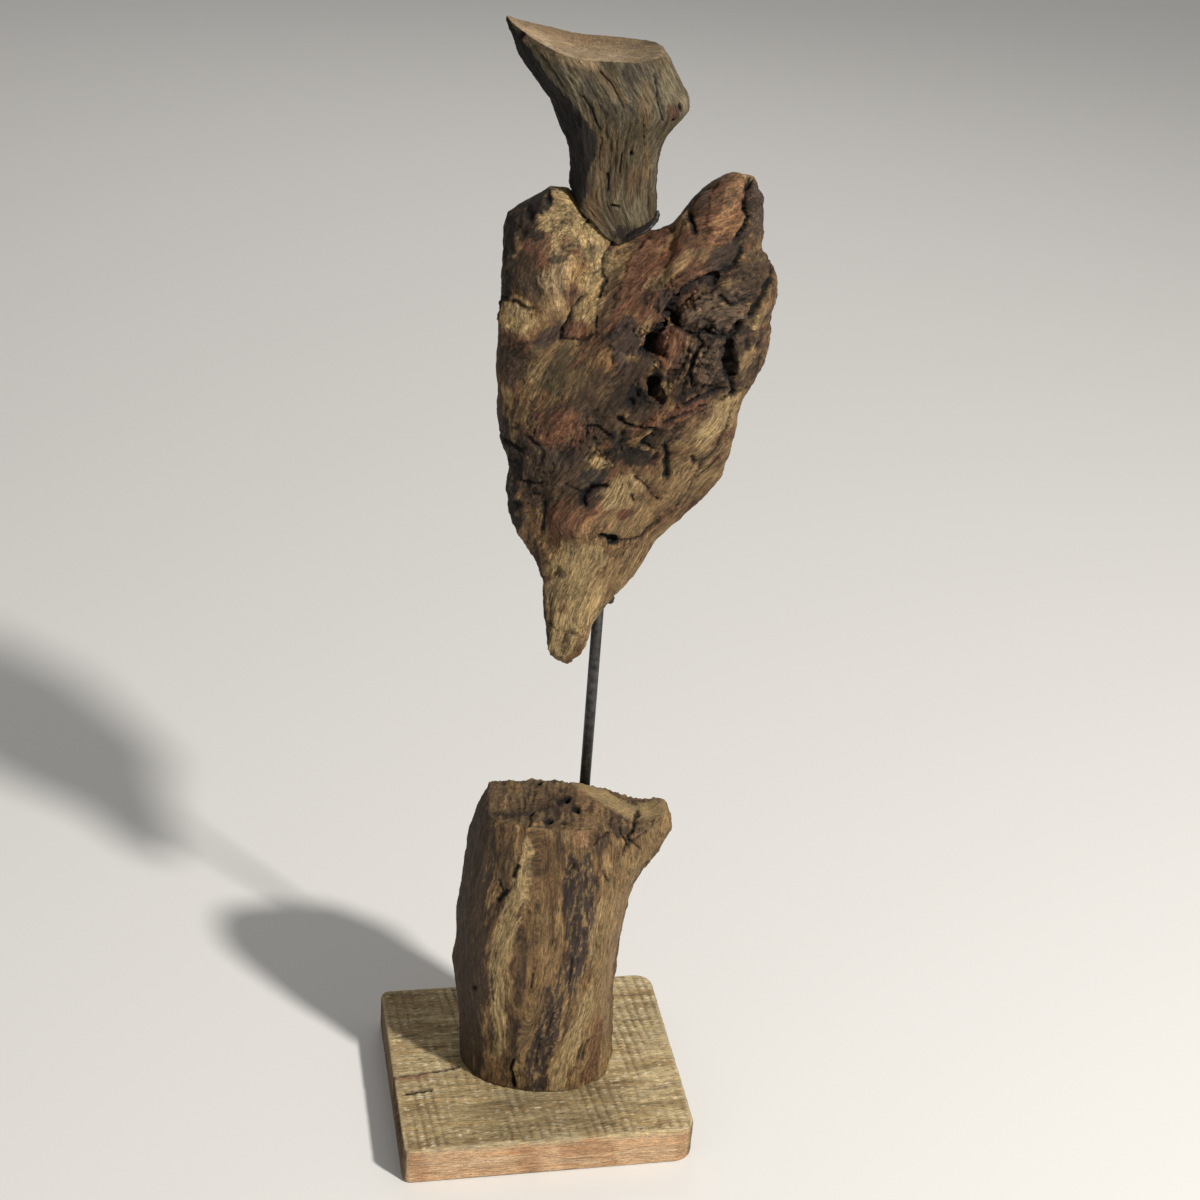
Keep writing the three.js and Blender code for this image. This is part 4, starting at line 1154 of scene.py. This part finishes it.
    # Painted shade, near black, in the cracks and pits
    stain_and_shading = blend_in(stain_and_shading, NEAR_BLACK, 0.9 * np.clip(pits / 1.5, 0, 1))
    # Painted shade, darker in the hollows, and painted highlight, paler on the crests, darkened less on the
    # cut top; then the left side painted near black as shade
    form = relief - 0.6 * lumps + DISH_DEPTH * dish
    stain_and_shading *= (0.74 + 0.12 * top - 0.34 * ease_between(0.3, 1.4, -form))[:, None]
    stain_and_shading *= (1 + 0.28 * ease_between(0.3, 1.3, form))[:, None]
    # Painted shade: the left side near black
    stain_and_shading = blend_in(stain_and_shading, SHADE_BLACK, 0.97 * flank)
    paint(piece, stain_and_shading, grain)
    finish = wood_finish(
        "stump_wood", fibre=1.4, contrast=1.0, roughness=(0.6, 0.9), relief=0.7, checks=0.75)
    dress(piece, "head", finish)


# The board

# Cracks of its top seen from above: path, half width, depth in millimetres
BOARD_SEAMS = (
    (((-87, -8.5), (-72, -7.0), (-60, -6.0), (-46, -3.6)), 1.1, 2.4),
    (((-78, -22.8), (-70, -21.6), (-64, -21)), 1.6, 2.0),
    (((-80, 26), (-66, 27)), 0.6, 0.9),
    (((60, -34), (74, -33.4)), 0.6, 0.8),
    (((52, 38), (55, 52)), 0.8, 1.2),
)


def make_board():
    piece = fine_copy("board_wood", "base_board", BOARD_GRID, passes=3)
    points, normals = read_vertices(piece)
    place = points / MM
    x, y, z = place.T
    # Top, underside, end grain and long sides
    top = ease_between(0.4, 0.85, normals[:, 2])
    under = ease_between(0.4, 0.85, -normals[:, 2])
    edge = 1 - top - under
    ends = edge * ease_between(0.5, 0.85, np.abs(normals[:, 0]))
    rims = edge - ends
    warp = layered(place / 30, 405, 2)
    stir = layered(place / 7, 407, 3)
    grain = np.stack([y + 1.2 * warp, z + 0.6 * warp, x / 10], 1)
    # Relief in millimetres: fibres, saw marks, the splintered end and the worn edges
    fibres = layered(grain / np.array([1.7, 1.7, 1.6]), 421, 4, 0.66)
    gouges = layered(grain / np.array([6, 6, 3]), 431, 3, 0.5)
    saw = x + 0.10 * y + 0.8 * warp + 0.25 * stir
    sway = 1.8 * drift(np.stack([saw / 14, y / 60, z / 60], 1), 441)
    teeth = np.sin(saw * 2 * math.pi / SAW_PITCH + sway)
    pressed = layered(place / np.array([26, 44, 50]), 451, 2) + 0.25 * ease_between(0, 60, x)
    bite = ease_between(-0.5, 0.6, pressed)
    relief = 0.30 * fibres + 0.22 * gouges + top * (0.2 * gouges + 0.32 * bite * teeth)
    chips = layered(np.stack([x / 9, y / 3.4, z / 12], 1), 461, 4, 0.62)
    broken = ends * ease_between(-0.2, 0.4, -normals[:, 0]) * ease_between(5, 15, z)
    broken *= ease_between(-66, -60, y) * (1 - ease_between(-12, -6, y))
    relief -= broken * (1.6 + 4.2 * terraced(ease_between(-0.3, 0.6, chips), 3))
    relief -= 0.5 * ends * ease_between(-0.2, 0.6, gouges)
    brink = np.minimum(np.minimum(BOARD[0] / 2 - np.abs(x), BOARD[1] / 2 - np.abs(y)), 9)
    worn = layered(place / np.array([16, 16, 30]), 471, 3)
    crest = (1 - ease_between(0.4, 3.6 + 1.4 * worn, brink)) * ease_between(20, 24.4, z)
    relief -= 0.7 * crest * ease_between(-0.4, 0.6, worn)
    cuts = carved(x, y + 0.5 * gouges + 0.3 * stir, BOARD_SEAMS, 0.1 * fibres)
    cuts *= ease_between(0, 0.5, normals[:, 2])
    relief -= cuts
    steady = ease_between(0.5, 5.0, brink) * top + rims * 0.5 + ends * 0.35 + under
    relief = relief * np.maximum(steady, ease_between(0.2, 0.6, np.maximum(broken, cuts)))
    relief = np.minimum(relief, 0.9) * ease_between(0.6, 2.5, z)
    write_points(piece, points + normals * relief[:, None] * MM)
    # Stains of the top, with the saw's lines and pale rows of fibres
    mottle = layered(grain / np.array([12, 12, 5]), 481, 4, 0.62)
    stain_and_shading = np.tile(np.array(SAWN_TAN), (len(x), 1))
    paler = mottle + 0.3 * ease_between(10, 70, x)
    stain_and_shading = blend_in(stain_and_shading, SAWN_PALE, 0.75 * ease_between(0.0, 0.6, paler))
    stain_and_shading = blend_in(stain_and_shading, HONEY, 0.5 * ease_between(0.1, 0.8, -mottle))
    cut_lines = bite * ease_between(0.3, 0.98, -teeth + 0.35 * fibres)
    stain_and_shading = blend_in(stain_and_shading, SAW_LINE, top * 0.5 * cut_lines)
    rows = layered(np.stack([y / 0.95, z / 2, x / 5.5], 1), 485, 2, 0.6) + 0.25 * teeth
    stain_and_shading = blend_in(stain_and_shading, FIBRE_PALE, top * 0.9 * ease_between(0.50, 0.85, rows))
    stain_and_shading = blend_in(stain_and_shading, FIBRE_DARK, top * 0.6 * ease_between(0.5, 0.95, -rows))
    # Stains of the long sides and the worn edges, and the rings of the end grain
    block = drift(np.stack([(x + 0.2 * z) / 24, y / 200, z / 200], 1), 491)
    bands = layered(np.stack([x / 60, y / 60, z / 1.9], 1), 495, 3, 0.6)
    stain_and_shading = blend_in(stain_and_shading, RIM_MIDDLE, rims * 0.95)
    stain_and_shading = blend_in(stain_and_shading, RIM_DARK, rims * 0.75 * ease_between(-0.06, 0.06, block))
    pale_bands = ease_between(0.1, 0.6, bands) * ease_between(20, 12, z)
    stain_and_shading = blend_in(stain_and_shading, RIM_PALE, rims * 0.65 * pale_bands)
    stain_and_shading = blend_in(stain_and_shading, RUST, rims * 0.25 * ease_between(0.3, 1.0, -bands))
    stain_and_shading = blend_in(stain_and_shading, CREST_TAN, 0.9 * crest * ease_between(-0.7, 0.1, worn + 0.3 * fibres))
    rings = np.sin((z + 9 * warp + 0.012 * y * y) * 2 * math.pi / RING_PITCH)
    # The end grain darker, partly its own colour and partly painted shade
    stain_and_shading = blend_in(stain_and_shading, UMBER, ends * 0.75)
    stain_and_shading = blend_in(stain_and_shading, HONEY, ends * 0.5 * ease_between(-0.2, 0.8, rings + 0.4 * fibres))
    pink = ease_between(0, 0.6, seam(x, y, ((-87, -9.8), (-66, -8.6)), 2.4)) * top
    stain_and_shading = blend_in(stain_and_shading, SPLIT_PINK, 0.75 * pink)
    # Painted shade: near black in the cracks and between the splintered end's chips
    gaps = 0.92 * np.clip(cuts / 1.4, 0, 1) + 0.6 * broken * ease_between(0.1, 0.5, chips)
    stain_and_shading = blend_in(stain_and_shading, NEAR_BLACK, gaps)
    # Darker towards the front of the top and on the long sides, and painted shade in the hollows
    shade = 0.30 * top * ease_between(0.0, 0.7, patch(x, y, (2, -42), (70, 42))) + 0.10 * rims
    stain_and_shading *= (1 - shade - 0.35 * ease_between(0.2, 0.9, -relief) * (1 - broken))[:, None]
    paint(piece, stain_and_shading, grain)
    finish = wood_finish(
        "sawn_board", fibre=1.7, contrast=0.85, roughness=(0.62, 0.88), relief=0.5, checks=0.3)
    dress(piece, "base_board", finish)


# The rod and the putty

def make_rod():
    low, high = (Vector(corner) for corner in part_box("steel_rod"))
    shape = bmesh.new()
    radius = (high.x - low.x) / 2
    bmesh.ops.create_cone(
        shape, cap_ends=True, segments=48, radius1=radius, radius2=radius, depth=high.z - low.z,
        matrix=Matrix.Translation((low + high) / 2))
    piece = new_piece("rod_steel", shape)
    dress(piece, "steel_rod", steel_finish())


def make_putty():
    piece = fine_copy("putty_bead", "joint_putty", PUTTY_GRID, passes=3)
    points, normals = read_vertices(piece)
    lumps = layered(points / MM / 3.5, 505, 3)
    write_points(piece, points + normals * (0.28 * lumps)[:, None] * MM)
    dress(piece, "joint_putty", putty_finish())


make_camera()
make_studio()
make_floor()
make_board()
make_trunk()
make_rod()
make_torso()
make_putty()
make_head()
